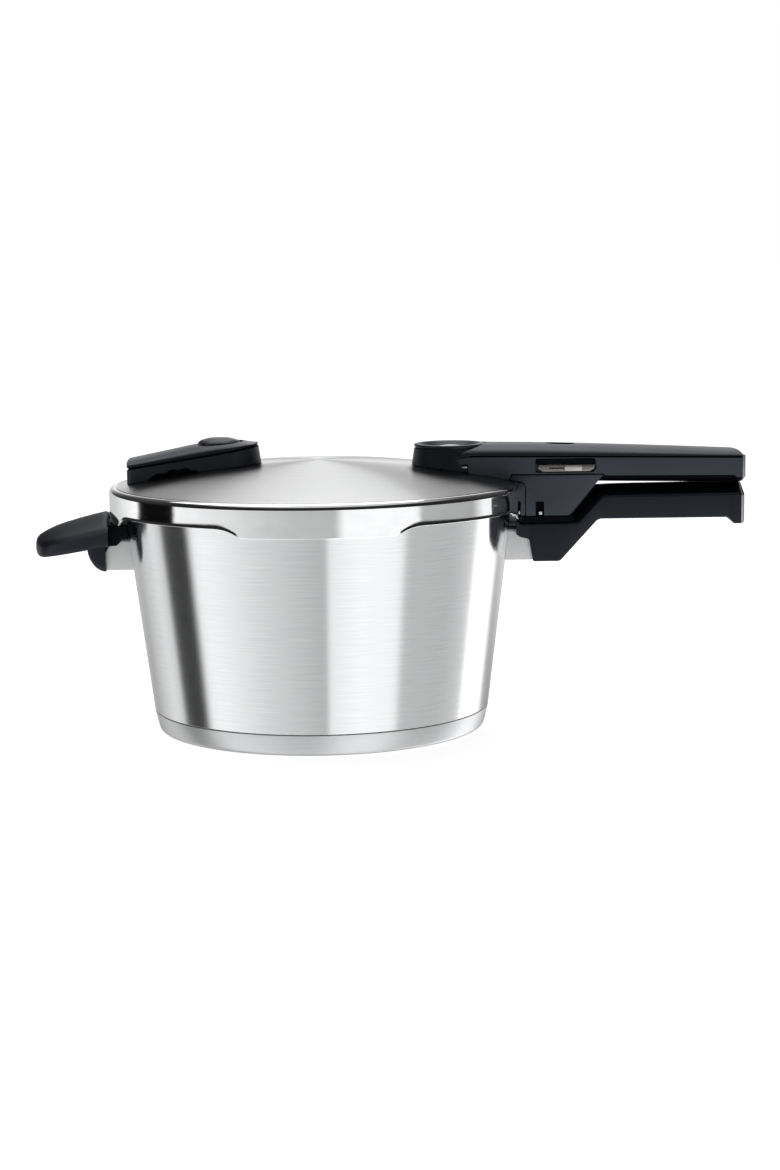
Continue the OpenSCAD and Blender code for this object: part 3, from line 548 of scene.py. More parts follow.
def grip_section(x, shrink=0.0):
    """The long handle's section: straight sides and a top that slopes up to a flat ridge."""
    low, side, ridge = (interp(p, x) for p in (GRIP_LOW, GRIP_SIDE, GRIP_RIDGE))
    inset = end_inset(x, POT_END, CAP_EDGE_R) + shrink
    w, low, side, ridge = HALF_W - inset, low + inset, side - inset * 0.6, ridge - inset
    side = max(side, low + 0.4)
    ridge = max(ridge, side + 0.01)
    r = min(1.4, (side - low) * 0.42)
    top_r = min(1.6, 0.2 + (ridge - side) * 0.3) if ridge - side > 0.5 else min(0.9, r)
    flat = lerp(6.5, 2.0, smooth((x - 156) / 8))
    return rounded([(-w + 0.7, low, r), (w - 0.7, low, r), (w, side, top_r), (flat, ridge, 1.8),
                    (-flat, ridge, 1.8), (-w, side, top_r)])


grip = sweep("pot_grip", stations(GRIP_LOW, GRIP_SIDE, GRIP_RIDGE,
                                  ends=(105.6, POT_CAP_X - 0.15)), grip_section)
carve(grip, wall_cutter(0.3, 128), bracket_cutter(90, 129.8, LONG_BRACKET_TOP),
      bore(BOLT_X, 4.4, 111.5, 126))
tongue = bevel(solid("grip_tongue", *block(113.2, 131, -11.7, 11.7, 98.6, 115.4)), 0.6)
for x in (117.3, 124.8):
    carve(tongue, bore(x, 3.9, 90, 101.4))
piece(grip, "pot", "handle_plastic", LOWER_PLASTIC, "pot_handle")
piece(tongue, "pot", "handle_plastic", LOWER_PLASTIC)
cap = sweep("pot_grip_end", cap_stations(POT_CAP_X, POT_END),
            lambda x: grip_section(x, cap_shrink(x, POT_CAP_X)))
piece(cap, "pot", "silver_trim", TRIM, "pot_handle_end_cap")


# ---- Helper handle ----

TIP_X, ROOT_X = -166.27, -121.6
PADDLE_LOW = [(-166.3, 107.2), (-166.0, 105.8), (-165.0, 104.3), (-163, 103.3), (-160.5, 103.2),
              (-134, 107.9), (-121, 110.0)]
PADDLE_CREASE = [(-166.3, 110.2), (-164.5, 110.6), (-160.4, 111.4), (-147, 114.7), (-129, 118.6),
                 (-121, 120.2)]
PADDLE_TOP = [(-166.3, 111.6), (-165.8, 113.2), (-164.5, 115.0), (-160, 117.8), (-154, 120.6),
              (-149, 122.3), (-140, 124.9), (-131, 127.2), (-124.8, 128.5), (-122.6, 127.6),
              (-121.6, 125.0)]


def paddle_section(x):
    """A rounded lower half up to a fine crease, and an arch above it."""
    t = (ROOT_X - x) / (ROOT_X - TIP_X)
    w = 24.0 * math.sqrt(max(0.0, 1 - t**4.2)) + 0.8
    low, crease, top = (interp(p, x) for p in (PADDLE_LOW, PADDLE_CREASE, PADDLE_TOP))
    r = min(3.2, (crease - low) * 0.5, w * 0.45)
    base = rounded([(-w, crease - 1.7), (-w + 0.9, low, r), (w - 0.9, low, r), (w, crease - 1.7)],
                   6)
    arch = []
    for k in range(33):
        s = 1 - 2 * k / 32
        a = abs(s)
        arch.append((w * s * (1 - 0.03 * smooth((a - 0.8) / 0.2)),
                     crease + (top - crease) * (1 - a**1.5) - 0.9 * smooth((a - 0.9) / 0.1)))
    return base + arch


xs = [TIP_X + 0.001, -166.2, -165.9, -165.2, -164.2, -163, -161.4]
xs += [lerp(-160, -125, k / 16) for k in range(17)]
xs += [-124.2, -123.2, -122.4, -121.9, ROOT_X]
paddle = sweep("helper_paddle", xs, paddle_section, 34)
carve(paddle, bracket_cutter(-134, -90, SHORT_BRACKET_TOP), sharp=34)
shelf = bevel(solid("helper_shelf", *prism(rounded([
    (-123, 122.6, 0.6), (-104, 121.2), (-104, 115.2), (-115.0, 115.0), (-115.6, 111.6, 1.0),
    (-117.4, 110, 1.0), (-121.8, 109.7, 1.2), (-123.9, 106), (-126, 106)]), -18.2, 18.2)), 0.7)
carve(shelf, wall_cutter(0.3, 128), bracket_cutter(-134, -90, SHORT_BRACKET_TOP))

BOSS_X, BOSS_REACH = -123.9, 11.0


def boss_section(x):
    """Half of a soft quarter-round nose below the paddle."""
    t = (BOSS_X - x) / BOSS_REACH
    drop = math.sqrt(max(0.0, 1 - t * t))
    w = 14.4 + 4.2 * math.sqrt(max(0.0, 1 - t**4))
    low = 109.0 - 14.6 * drop
    r = min(4.5, (109.5 - low) * 0.48)
    return rounded([(-w, low, r), (w, low, r), (w, 109.5), (-w, 109.5)], 7)


xs = [-134.88, -134.75, -134.5, -134.1, -133.5, -132.8, -131.8, -130.6, -129.2, -127.6, -125.8,
      -124.4, BOSS_X]
boss = sweep("helper_boss", xs, boss_section, 34)
carve(boss, bracket_cutter(-125.2, -90, SHORT_BRACKET_TOP), sharp=34)
plug = bevel(solid("helper_tongue", *block(-125.6, -114, -11.7, 11.7, 95.5, 112.4)), 0.6)
carve(plug, bore(-122, 3.9, 90, 98.4))
piece(paddle, "pot", "handle_plastic", LOWER_PLASTIC, "helper_handle")
# The shelf and the tongue under the paddle are painted shade; the boss keeps the lower plastic.
for obj, look in ((shelf, SHADE), (boss, LOWER_PLASTIC), (plug, SHADE)):
    piece(obj, "pot", "handle_plastic", look)


# ---- Lid ----

TAB_TURN = 1.5                      # degrees by which the skirt's tabs sit off the axes
TAB_HALF, TAB_RUN = 20.4, 7.6       # degrees: half of a tab, and the curve at each of its ends
TAB_Z, SKIRT_Z = 125.0, 129.9       # the lower edge of the tabs and of the skirt between them
LID_STEPS = 720


def skirt_edge(angle):
    """Share of the way from a deep tab (0) to the skirt between tabs (1), and the edge's height."""
    off = abs((math.degrees(angle) + 45 - TAB_TURN) % 90 - 45)
    t = 1 - (1 - min(1.0, max(0.0, (off - TAB_HALF) / TAB_RUN)))**2.2
    return t, lerp(TAB_Z, SKIRT_Z, t)


def lid_ring(angle):
    """The lid's closed section at an angle, from its centre out over the dome and back inside."""
    flare, edge = skirt_edge(angle)
    outward = (0, 8, 16, 25, 35, 45, 55, 65, 75, 84, 92, 99, 105, 110, 114, 116.6, 117.9)
    out = [(r, dome_z(r)) for r in outward]
    out += [(118.25, 143.72), (118.55, 143.66)]
    out += [(CREASE_R + SHOULDER_R * math.cos(a), SHOULDER_Z + SHOULDER_R * math.sin(a))
            for a in map(math.radians, (82, 72, 62, 52, 42, 32, 22, 11, 0))]
    out += [(LID_R, lerp(SHOULDER_Z, edge + 1.8, 0.5)), (LID_R, edge + 1.7),
            (LID_R + 0.12 * flare, edge + 1.2), (LID_R + 0.45 * flare, edge + 0.5),
            (LID_R + 0.62 * flare - 0.02 * (1 - flare), edge + 0.12),
            (LID_R + 0.5 * flare - 0.1 * (1 - flare), edge - 0.02),
            (LID_R - 0.7, edge), (LID_R - 1.3, edge + 0.2)]
    out += [(LID_R - 1.5, edge + 1.2), (LID_R - 1.5, SHOULDER_Z), (LID_R - 2.1, 142.0),
            (118.4, 142.4)]
    out += [(r, dome_z(r) - 1.5) for r in (117, 108, 95, 75, 50, 25, 0)]
    return out


def lid_face(c, n):
    r = math.hypot(c.x, c.y)
    if r < 118.0:
        return 0 if c.z > dome_z(r) - 0.6 and n.z > 0 else 2
    return 1 if r > 121.2 or c.z > 142.9 else 2


angles = [TURN * i / LID_STEPS for i in range(LID_STEPS)]
loops = [[(r * math.cos(a), r * math.sin(a), z) for r, z in lid_ring(a)] for a in angles]
lid = solid("lid_dome", *rings(loops, closed_loop=True), sharp=35)
carve(lid, *[bore(x, r, 138, 170, 48) for x, r in ((HUB_X, 8.1), (VENT_X, 6.1), (FLOAT_X, 4.1))],
      sharp=35)
piece(lid, "lid", "lid_steel", [DOME, MIRROR, INSIDE], "lid_shell")
paint(lid, lid_face)
for k in range(4):
    lug = solid(f"lid_lug_{k}", *arc_block(rounded([
        (116, 125.5, 0.4), (121.0, 125.5), (121.0, 127.0), (116, 127.0, 0.4)]), 90 * k, 15))
    piece(lug, "lid", "lid_steel", MIRROR)


# ---- Lid handle ----

GRIP_END, LID_CAP_X = 248.19, 246.2
GRIP_END_R, CROWN_END_R = 2.2, 4.6  # the round end, in plan and over the crown
HANDLE_SPLIT = rounded([(70, 155.4), (77, 157.0, 3), (86, 159.35, 6), (96, split_at(96)),
                        (250, split_at(250))], closed=False)
CROWN_TOP = [(70, 167.0), (98, 166.1), (125, 165.6), (156, 164.6), (190, 163.2), (220, 161.8),
             (250, 160.2)]
GROOVE = 0.45                       # half the height of the dark line between the halves: a groove whose faces are painted shade
HANDLE_ROOT = [(76, 154.3), (87.5, 154.3), (87.55, 148.2), (110.6, 144.4), (112.0, 148.2, 0.8)]
HANDLE_LOW = rounded(HANDLE_ROOT + [
    (159.8, 148.2, 0.4), (161.7, 143.2, 0.8), (223, 142.1), (241.2, 142.0), (243.2, 141.9, 0.8),
    (250, 141.9)], closed=False)
HANDLE_FLANK = rounded(HANDLE_ROOT + [
    (165.4, 148.2, 1), (166.6, 147.1, 1), (241.2, 146.4), (243.2, 145.0, 0.8), (250, 145.0)],
    closed=False)
SLOT = rounded([(126.2, 149.4, 1.2), (159.6, 149.4, 1.5), (161.8, 151.6, 1), (160.8, 157.6, 1.2),
                (126.2, 157.6, 1.2)])


def handle_half(x):
    """Half the handle's width, which grows towards the hub."""
    return HALF_W + 2.75 * smooth((110 - x) / 33)


def crown_z(x, share):
    """Height of the cover's arch at a share of its half width."""
    low = interp(HANDLE_SPLIT, x) + 0.7
    return low + (interp(CROWN_TOP, x) - low) * math.sqrt(max(0.0, 1 - abs(share) ** 2.2))


def crown_arch(x, shrink=0.0):
    """The cover's half width at x, and its arch from one side to the other."""
    drop = end_inset(x, GRIP_END, CROWN_END_R)
    w = handle_half(x) - (end_inset(x, GRIP_END, GRIP_END_R) + shrink)
    arch = []
    for k in range(49):
        share = math.sin(math.pi / 2 * (1 - 2 * k / 48))
        arch.append((w * share, crown_z(x, share) - drop * (1 - abs(share) ** 4)))
    return w, arch


def crown_section(x):
    """The cover's section: its arch over a thin recessed foot, painted shade, that leaves a dark
    line.
    """
    w, arch = crown_arch(x)
    low = interp(HANDLE_SPLIT, x)
    foot = [(w - 2.2, low - GROOVE), (w - 2.2, low + 0.4), (w - 0.25, low + 0.4), (w, low + 0.6)]
    return [(-y, z) for y, z in reversed(foot)] + foot + arch


def base_section(x, shrink=0.0, top=None):
    """The handle's lower half up to the joint or a given top: flat flanks, a narrower keel."""
    low, flank = interp(HANDLE_LOW, x), interp(HANDLE_FLANK, x)
    inset = end_inset(x, GRIP_END, GRIP_END_R) + shrink
    high = (interp(HANDLE_SPLIT, x) - GROOVE) if top is None else top
    w = handle_half(x) - inset
    low, flank = low + inset, flank + inset * 0.4
    flank = max(flank, low + 0.02)
    keel = lerp(w - 2.4, 8, smooth((flank - low) / 1.5))
    return rounded([(-w, high - 0.2), (-w + 0.2, high), (w - 0.2, high), (w, high - 0.2),
                    (w, flank, 0.9), (keel, low, 1.0), (-keel, low, 1.0), (-w, flank, 0.9)])


def lid_end_section(x):
    """The end cap's section: the base's keel below and the cover's arch above."""
    shrink = cap_shrink(x, LID_CAP_X)
    cut = 149.2
    under = [p for p in base_section(x, shrink, 150) if p[1] < cut]
    left = sorted((p for p in under if p[0] < 0), key=lambda p: (-p[1], p[0]))
    right = sorted((p for p in under if p[0] > 0), key=lambda p: (p[1], p[0]))
    return crown_arch(x, shrink)[1] + left + right


def pill(x0, x1, r):
    """An oval outline in plan with round ends, from x0 to x1."""
    n = 16
    right = [(x1 - r + r * math.cos(math.radians(a)), r * math.sin(math.radians(a)))
             for a in [-90 + 180 * k / n for k in range(n + 1)]]
    return right + [(x0 + x1 - x, -y) for x, y in right]


def pill_stack(x0, x1, r, levels):
    """Points and faces of an oval solid, drawn in by an inset at each (height, inset)."""
    return rings([[(x, y, z) for x, y in pill(x0 + s, x1 - s, r - s)] for z, s in levels])


HUB_R, HUB_MID, HUB_TAPER = 22.5, 152.5, 0.162


def hub_cutter(gap):
    """A cutter for the tapering hub, grown by a gap."""
    low, high = 140, 180
    return cutter(revolve([(0, low), (HUB_R + HUB_TAPER * (HUB_MID - low) + gap, low),
                           (HUB_R - HUB_TAPER * (high - HUB_MID) + gap, high), (0, high)],
                          160, (HUB_X, 0)))


xs = stations(HANDLE_SPLIT, CROWN_TOP, ends=(76.5, LID_CAP_X - 0.15), step=3.0)
crown = sweep("lid_grip_crown", xs, crown_section, 34)
dish = cutter(pill_stack(133.2, 151.0, 6.4, ((163.0, 0.5), (164.6, 0.3), (166.4, -0.9))))
carve(crown, hub_cutter(0.55), dish, sharp=34)
piece(crown, "lid", "handle_plastic", [PLASTIC, SHADE], "lid_handle_cover")
# The foot below the joint is painted shade, to darken the groove between the halves.
paint(crown, lambda c, n: 1 if c.z < interp(HANDLE_SPLIT, c.x) + 0.55 else 0)
glass = solid("lock_glass", *pill_stack(134.1, 150.1, 5.5, (
    (162.6, 0), (163.5, 0), (163.75, 0.8), (163.85, 2.2))))
piece(glass, "lid", "window_plastic", WINDOW, "lock_window")

xs = stations(HANDLE_LOW, HANDLE_FLANK, HANDLE_SPLIT, ends=(77.4, LID_CAP_X - 0.15), step=8.0)
base = sweep("lid_grip_base", xs, base_section, 34)
pocket = cutter(prism(SLOT, -30, -15.6))
shaft = bore(BOLT_X, 4.4, 140, 158.4)
room = cutter(block(122, 168, -12.8, 12.8, 150.6, 170))
slit = cutter(block(130.4, 156, -17, -12, 150.6, 154))
carve(base, lid_cutter(0.12), pocket, shaft, room, slit, sharp=34)
piece(base, "lid", "handle_plastic", [SIDE_PLASTIC, SHADE], "lid_handle_base")
# Faces that look down, and the floor of the groove under the cover, are painted shade; the sides
# keep the lighter side plastic.
paint(base, lambda c, n: 1 if n.z < -0.25 or n.z > 0.8 else 0)

cap = sweep("lid_grip_end", cap_stations(LID_CAP_X, GRIP_END), lid_end_section, 34)
piece(cap, "lid", "silver_trim", TRIM, "lid_handle_end_cap")


# ---- Latch under the lid handle ----

latch = solid("latch_block", *prism(rounded([
    (106, 140), (106, 143.6), (111.2, 144.6, 1.2), (112.6, 148.1, 1.2), (166.0, 148.1, 0.6),
    (145.6, 124.4, 1.4), (117, 124.4), (117, 140)]), -18.9, 18.9))
bevel(latch, 0.7, 3, 35)
front = lid_cutter(0.3)
NOTCH = rounded([(126.3, 120), (131.2, 120), (131.2, 132.7, 0.5), (126.3, 132.7, 0.5)])
notches = [cutter(prism(NOTCH, y0, y1)) for y0, y1 in ((-25, -14.2), (14.2, 25))]
carve(latch, front, bore(BOLT_X, 4.1, 120, 152), *notches, sharp=34)
piece(latch, "lid", "handle_plastic", [SIDE_PLASTIC, SHADE], "latch_housing")
# Only the latch's two side faces keep the side plastic; its other faces, under the handle and in
# the notches, are painted shade.
paint(latch, lambda c, n: 1 if abs(n.y) < 0.2 or abs(c.y) < 18.2 else 0)

PIN = rounded([(0, 124.9), (1.5, 124.9, 0.5), (1.5, 127.0, 0.5), (0, 127.0)])
for name, y, replaced in (("latch_pin_near", -17.2, ["latch_pins"]), ("latch_pin_far", 17.2, [])):
    pin = solid(name, *revolve(PIN, 32, (129.2, y)))
    piece(pin, "lid", "polished_steel", FITTING, *replaced)

rest = bevel(solid("latch_rest", *prism(rounded([
    (117.4, 119.3), (117.4, 123.8, 0.8), (149.2, 123.8, 1.2), (147.4, 119.3)]), -16.5, 16.5)), 0.4)
rim = cutter(revolve([(0, 110), (wall_r(110) + 0.3, 110), (120.6, 124.2), (120.6, 130), (0, 130)],
                     128))
carve(rest, bore(BOLT_X, 4.5, 110, 130), rim)
# The rest, dark plastic in the model, is drawn in shade plastic: painted shade under the latch.
piece(rest, "pot", "dark_plastic", SHADE, "strike_plate")


# ---- Slider fittings in the slot ----

strip = solid("slot_band", *prism([
    (126.6, 154.3), (161.0, 154.3), (160.4, 157.3), (126.6, 157.3)], -17.4, -15.8))
piece(bevel(strip, 0.25), "lid", "dark_plastic", SHADE, "slot_strip")
blade = bevel(solid("slider_blade", *prism(rounded([
    (127.6, 151.8, 0.8), (128.4, 153.9, 0.4), (161.2, 153.9, 0.3), (160.2, 151.4, 1),
    (157.8, 149.8, 1.4), (130.8, 149.8, 1.6)]), -18.3, -17.0)), 0.3)
carve(blade, cutter(block(134.2, 152.2, -20, -15, 151.55, 152.35)))
piece(blade, "lid", "slider_metal", BRONZE, "slide_plate")
knob = solid("slider_knob", *prism(rounded([
    (143, 150.2, 0.9), (153.4, 150.2, 0.9), (153.4, 153.6, 0.9), (143, 153.6, 0.9)]),
    -19.6, -18.45))
bevel(knob, 0.45)
neck = bevel(solid("slider_neck", *block(144.6, 151.8, -18.5, -12.1, 151.65, 152.25)), 0.1)
piece(knob, "slider", "slider_metal", KNOB, "slide_knob")
piece(neck, "slider", "slider_metal", KNOB)


# ---- Indicator hub ----

hub = solid("hub_body", *revolve(rounded([
    (0, 140), (20.4, 140), (20.6, 152.4, 0.3), (HUB_R, HUB_MID, 0.5), (20.8, 163.3, 0.5),
    (19.6, 163.7), (19.6, 164.0), (16, 164.0), (16, 155.5), (0, 155.5)]), 192, (HUB_X, 0)))
recesses = [cutter(block(72.6, 87.5, y0, y1, 140, 154.2)) for y0, y1 in ((-30, -17.6), (17.6, 30))]
carve(hub, lid_cutter(0.12), *recesses, bore(HUB_X, 8.4, 140, 160), sharp=34)
piece(hub, "lid", "handle_plastic", PLASTIC, "hub_housing")
ring = solid("hub_ring", *revolve(rounded([
    (13.6, 162.4), (19.5, 164.05), (20.8, 164.3, 0.3), (20.75, 165.8, 0.7), (17.6, 165.8, 0.9),
    (13.6, 163.3, 0.6)]), 192, (HUB_X, 0)), sharp=40)
piece(ring, "lid", "handle_plastic", PLASTIC, "hub_bezel")
button = solid("indicator_face", *revolve(rounded([
    (0, 160), (13, 160), (13, 163.3, 0.6), (11.4, 163.9, 0.5), (10.6, 163.2, 0.4),
    (8.2, 163.2, 0.4), (7.6, 164.2, 0.6), (3, 164.7, 2), (0, 164.8)]), 128, (HUB_X, 0)), sharp=40)
piece(button, "indicator", "dark_plastic", WINDOW, "indicator_cap")
for name, y0, y1 in (("hub_clip_near", -20.6, -17.7), ("hub_clip_far", 17.7, 20.6)):
    clip = bevel(solid(name, *block(83.6, 86.8, y0, y1, 152.6, 153.9)), 0.3)
    piece(clip, "lid", "polished_steel", FITTING)


# ---- Steam valve housing ----

VENT_OUT, VENT_ROUND, VENT_CORNER = -110.4, -51.6, 3.2
VENT_SPINE = [(-112, 158.9), (-74, 166.6), (-58, 169.2), (-48, 169.4), (-40, 168.9), (-34, 167.4)]
BUTTON_HOLE_R = 12.8
DISH_Z, DISH_R, DISH_EDGE, DISH_SLOPE = 166.3, 13.6, 17.6, 0.98
LEAN_Z = 153                        # the housing's inner end leans above this height
OUTLETS = ((-96.5, -93.6, 1.87), (-93.6, -90.4, 2.89), (-90.4, -87.0, 2.465),
           (-87.0, -82.4, 3.655), (-82.4, -78.4, 2.89), (-78.4, -74.0, 3.315),
           (-74.0, -69.5, 1.615))   # x range and lift of each steam outlet
SHARES = [0.0, 0.012, 0.03, 0.06, 0.1, 0.16, 0.24, 0.33, 0.42, 0.52, 0.62, 0.7, 0.77, 0.83, 0.88,
          0.92, 0.96, 1.0]


def vent_outline(inset=0.0):
    """The housing's plan: straight sides, a round inner end and an outer end with soft corners."""
    r, c, n = HALF_W - inset, VENT_CORNER, 36
    x_out = VENT_OUT + inset
    corner = [math.radians(a) for a in range(0, 91, 15)]
    pts = []
    for k in range(49):
        a = math.radians(-90 + 180 * k / 48)
        pts.append((VENT_ROUND + r * math.cos(a), r * math.sin(a)))
    pts += [(lerp(VENT_ROUND, x_out + c, k / n), r) for k in range(1, n)]
    pts += [(x_out + c - c * math.sin(a), r - c + c * math.cos(a)) for a in corner]
    pts += [(x_out, lerp(r - c, -r + c, k / 8)) for k in range(1, 8)]
    pts += [(x_out + c - c * math.cos(a), -r + c - c * math.sin(a)) for a in corner]
    pts += [(lerp(x_out + c, VENT_ROUND, k / n), -r) for k in range(1, n)]
    return pts


def vent_split(x):
    """Height of the joint between the housing's base and its cover."""
    return 154.5 + 0.155 * (x - VENT_OUT)


def above_split(lift):
    return lambda x, y: vent_split(x) + lift


def vent_skin(x, y):
    """Height of the cover's arched top, with the dish round the button."""
    edge = vent_split(x) + 1.3
    reach = abs(y) if x < VENT_ROUND else math.hypot(x - VENT_ROUND, y)
    s = min(1.0, reach / HALF_W)
    z = edge + (interp(VENT_SPINE, x) - edge) * math.sqrt(max(0.0, 1 - s**2.3))
    away = math.hypot(x - VENT_X, y)
    return min(z, DISH_Z + max(0.0, away - DISH_R) * DISH_SLOPE) if away < DISH_EDGE else z


def lid_gap(x, y):
    """A height just above the lid."""
    return dome_z(min(118.0, math.hypot(x, y))) + 0.15


def outlet_edge(x, y):
    """Height of the base's lower edge, which lifts over the steam outlets in both sides."""
    for x0, x1, lift in OUTLETS:
        if abs(y) >= 16 and x0 <= x < x1:
            return lid_gap(x, y) + lift
    return lid_gap(x, y)


def baffle_top(x, y):
    return min(vent_split(x) - 1, 158.8)


def vent_ring(outline, height):
    """A ring over an outline; the round inner end leans in as it rises."""
    out = []
    for x, y in outline:
        z = height(x, y)
        rise = max(0.0, z - LEAN_Z)
        lean = 0.15 * rise * smooth((x - VENT_ROUND) / 16)
        out.append((x - lean, y * (1 - 0.004 * rise), z))
    return out


def toward_button(share):
    """A ring part of the way from the housing's outline to the button's hole."""
    out = []
    for x, y in outer:
        a = math.atan2(y, x - VENT_X)
        hole = (VENT_X + BUTTON_HOLE_R * math.cos(a), BUTTON_HOLE_R * math.sin(a))
        out.append((lerp(x, hole[0], share), lerp(y, hole[1], share)))
    return out


outer, slim, inner = vent_outline(), vent_outline(0.4), vent_outline(2.6)
foot = [(x - 1.6 * smooth((-100 - x) / 6) + 1.6 * smooth((x + 41) / 6), y)
        for x, y in vent_outline(2.2)]
base_loops = [
    vent_ring(inner, outlet_edge), vent_ring(outer, outlet_edge),
    vent_ring(outer, lambda x, y: lerp(outlet_edge(x, y), vent_split(x), 0.5)),
    vent_ring(outer, above_split(-0.8)), vent_ring(slim, above_split(-0.5)),
    vent_ring(inner, above_split(-0.5))]
vent = solid("vent_body", *rings(base_loops, closed_loop=True), sharp=34)
piece(vent, "lid", "handle_plastic", [PLASTIC, SHADE], "vent_base")
# The base's upward faces, in the groove under the cover, are painted shade.
paint(vent, lambda c, n: 1 if n.z > 0.8 else 0)

cover_loops = [vent_ring(foot, above_split(-0.5)), vent_ring(foot, above_split(0.4)),
               vent_ring(slim, above_split(0.4)), vent_ring(outer, above_split(0.7))]
cover_loops += [vent_ring(toward_button(share), vent_skin) for share in SHARES]
cover_loops += [vent_ring(toward_button(1.0), lambda x, y: 164.6),
                vent_ring(toward_button(0.86), lambda x, y: min(164.4, vent_split(x) + 2)),
                vent_ring(inner, above_split(-0.5))]
cover = solid("vent_hood", *rings(cover_loops, closed_loop=True), sharp=40)
piece(cover, "lid", "handle_plastic", [PLASTIC, SHADE], "vent_cover")
# The cover's foot below the joint is painted shade, to darken the groove.
paint(cover, lambda c, n: 1 if c.z < vent_split(c.x) + 0.5 else 0)
button = solid("steam_push", *revolve(rounded([
    (0, 165.2), (12.3, 165.2), (12.4, 168.2, 0.7), (10.6, 169.5, 3), (6.2, 170.7, 8),
    (0, 171.0)]), 128, (VENT_X, 0)), sharp=40)
piece(button, "steam_button", "handle_plastic", PLASTIC, "vent_button")

# A near-black wall put inside the outlets as painted shade; it also keeps the far side's light out
# of them.
baffle_out, baffle_in = vent_outline(5.5), vent_outline(7)
baffle = solid("vent_baffle", *rings([
    vent_ring(baffle_out, lid_gap), vent_ring(baffle_out, baffle_top),
    vent_ring(baffle_in, baffle_top), vent_ring(baffle_in, lid_gap)], closed_loop=True))
piece(baffle, "lid", "dark_plastic", SHADE)


# ---- Materials of the CAD nodes that are shown as they are ----

for obj in nodes.values():
    if obj.hide_render:
        continue
    for s in obj.material_slots:
        slot_name = (s.material.name if s.material else "").split(".")[0]
        s.material = SLOTS.get(slot_name, FITTING)
    if not obj.material_slots:
        obj.data.materials.append(FITTING)


# ---- Studio ----

# Brightness round the tent, by share of a turn: from behind the object on the left, past the
# camera at 0.5, to behind on the right. The wall faces a little down and sees the first list; the
# upright rim and skirt see the second.
WALL_BANDS = [
    (0.0, 0.4), (0.08, 0.5), (0.165, 1.10), (0.190, 1.0), (0.199, 0.05), (0.256, 0.08),
    (0.267, 1.50), (0.31, 1.38), (0.40, 1.02), (0.514, 0.70), (0.522, 1.30), (0.58, 1.50),
    (0.652, 1.45), (0.662, 0.78), (0.75, 0.72), (0.81, 0.86), (0.826, 2.0), (0.885, 2.0),
    (0.91, 0.6), (0.96, 0.2), (1.0, 0.4)]
RIM_BANDS = [
    (0.0, 0.5), (0.10, 0.7), (0.18, 1.2), (0.189, 0.004), (0.266, 0.004), (0.272, 1.1),
    (0.36, 0.88), (0.46, 0.60), (0.528, 0.55), (0.542, 1.15), (0.655, 1.15), (0.664, 0.52),
    (0.76, 0.46), (0.785, 1.1), (0.93, 1.0), (1.0, 0.5)]
# Brightness from the horizon (0) to straight up (1) in front of the object.
FRONT_SKY = [(0.0, 0.02), (0.50, 0.02), (0.62, 0.55), (1.0, 0.95)]
# How far the ceiling covers the backdrop, from the horizon to straight up.
BACK_SKY = [(0.0, 0.0), (0.5, 0.1), (0.8, 1.0)]
# Brightness of the backdrop by its share of a turn from the camera's side: 0.5 is straight behind.
BACK_ROUND = [(0.25, 0.0), (0.39, 0.02), (0.425, 0.10), (0.45, 0.36), (0.475, 0.95), (0.5, 1.22)]
CEILING = (0.7, 0.7, 0.7, 1)
WHITE = (1, 1, 1, 1)


class World(Tree):
    """The tree of the world's background."""

    def __init__(self, name):
        world = bpy.data.worlds.new(name)
        scene.world = world
        world.use_nodes = True
        world.node_tree.nodes.clear()
        super().__init__(world.node_tree)

    def curve(self, value, stops):
        """A grey level that runs straight from stop to stop."""
        node = self.add("ShaderNodeValToRGB", {0: value})
        node.color_ramp.interpolation = "LINEAR"
        points = node.color_ramp.elements
        while len(points) > 1:
            points.remove(points[-1])
        for i, (at, level) in enumerate(stops):
            p = points[0] if i == 0 else points.new(at)
            p.position, p.color = at, (level, level, level, 1)
        return node.outputs[0]


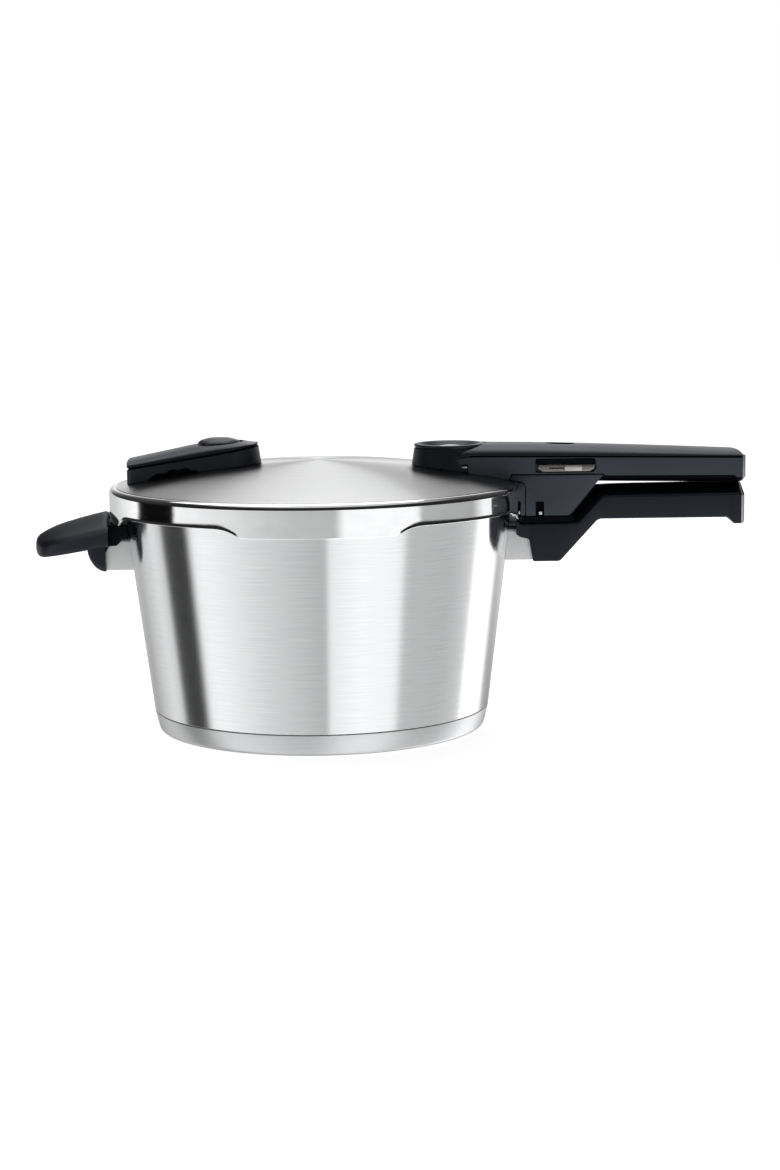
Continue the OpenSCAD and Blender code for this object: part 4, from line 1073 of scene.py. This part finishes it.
def studio_world():
    """A soft white tent with broad grey panels, as reflections show it.

    The camera sees plain white. Nothing here depends on where the camera stands.
    """
    w = World("studio")
    x, y, z = w.add("ShaderNodeSeparateXYZ", {
        0: w.add("ShaderNodeTexCoord").outputs["Generated"]}).outputs
    # The azimuth is 0 along -Y and grows towards +X, as a share of a turn from -0.5 to 0.5.
    azimuth = w.math("DIVIDE", w.math("ARCTAN2", x, w.math("MULTIPLY", y, -1.0)), TURN)
    share = w.math("ADD", azimuth, 0.5)
    height = w.math("DIVIDE", w.math("ARCSINE", z), math.pi / 2)
    bands = w.mix(w.remap(height, -0.16, -0.11), w.curve(share, WALL_BANDS),
                  w.curve(share, RIM_BANDS))
    # Above the horizon: a dark room with a bright ceiling in front, and behind, a bright backdrop
    # with dark sides.
    front = w.math("MULTIPLY", w.math("SUBTRACT", 0.25, w.math("ABSOLUTE", azimuth)), 4.0)
    backdrop = w.curve(w.math("ABSOLUTE", azimuth), BACK_ROUND)
    behind = w.mix(w.curve(height, BACK_SKY), backdrop, CEILING)
    above = w.mix(w.remap(front, -0.35, 0.1), behind, w.curve(height, FRONT_SKY))
    seen = w.mix(w.remap(height, 0.02, 0.045), bands, above)
    panels = w.add("ShaderNodeBackground", {"Color": seen, "Strength": 1.0}).outputs[0]
    plain = w.add("ShaderNodeBackground", {"Color": WHITE, "Strength": 1.0}).outputs[0]
    direct = w.add("ShaderNodeLightPath").outputs["Is Camera Ray"]
    mixed = w.add("ShaderNodeMixShader", {0: direct, 1: panels, 2: plain}).outputs[0]
    w.add("ShaderNodeOutputWorld", {0: mixed})


studio_world()

floor = solid("floor", [(-6000, -3000, 0), (6000, -3000, 0), (6000, 9000, 0), (-6000, 9000, 0)],
              [(0, 1, 2, 3)])
paper = Nodes("paper")
paper.set(base_color=paper.tint(paper.noise(paper.coord, 3.0), (0.80, 0.80, 0.80),
                                (0.82, 0.82, 0.82)),
          roughness=0.9, emission_color=WHITE, emission_strength=0.8)
floor.data.materials.append(paper.material)
floor.visible_glossy = False


def area_light(name, at, aim, size, power):
    """A rectangular light in metres and watts."""
    data = bpy.data.lights.new(name, "AREA")
    data.shape, data.size, data.size_y, data.energy = "RECTANGLE", size[0], size[1], power
    obj = bpy.data.objects.new(name, data)
    scene.collection.objects.link(obj)
    obj.location = at
    obj.rotation_mode = "QUATERNION"
    obj.rotation_quaternion = (Vector(aim) - Vector(at)).to_track_quat("-Z", "Y")


area_light("top_softbox", (-0.2, 0.5, 1.5), (0.03, 0, 0.1), (1.6, 1.0), 9)


# ---- Camera, in metres and degrees ----

EYE, PITCH, ROLL, LENS = (0.0413, -1.450, 0.2896), 8.136, -0.764, 76.40

camera_data = bpy.data.cameras.new("camera")
camera_data.lens, camera_data.sensor_width = LENS, 36
camera_data.clip_start, camera_data.clip_end = 0.05, 50
camera = bpy.data.objects.new("camera", camera_data)
scene.collection.objects.link(camera)
pitch, roll = math.radians(PITCH), math.radians(ROLL)
forward = Vector((0, math.cos(pitch), -math.sin(pitch)))
right = Vector((1, 0, 0))
up = right.cross(forward)
tilted_right = right * math.cos(roll) + up * math.sin(roll)
tilted_up = up * math.cos(roll) - right * math.sin(roll)
turned = Matrix((tilted_right, tilted_up, -forward)).transposed().to_4x4()
camera.matrix_world = Matrix.Translation(EYE) @ turned
scene.camera = camera
scene.view_settings.view_transform = "Standard"
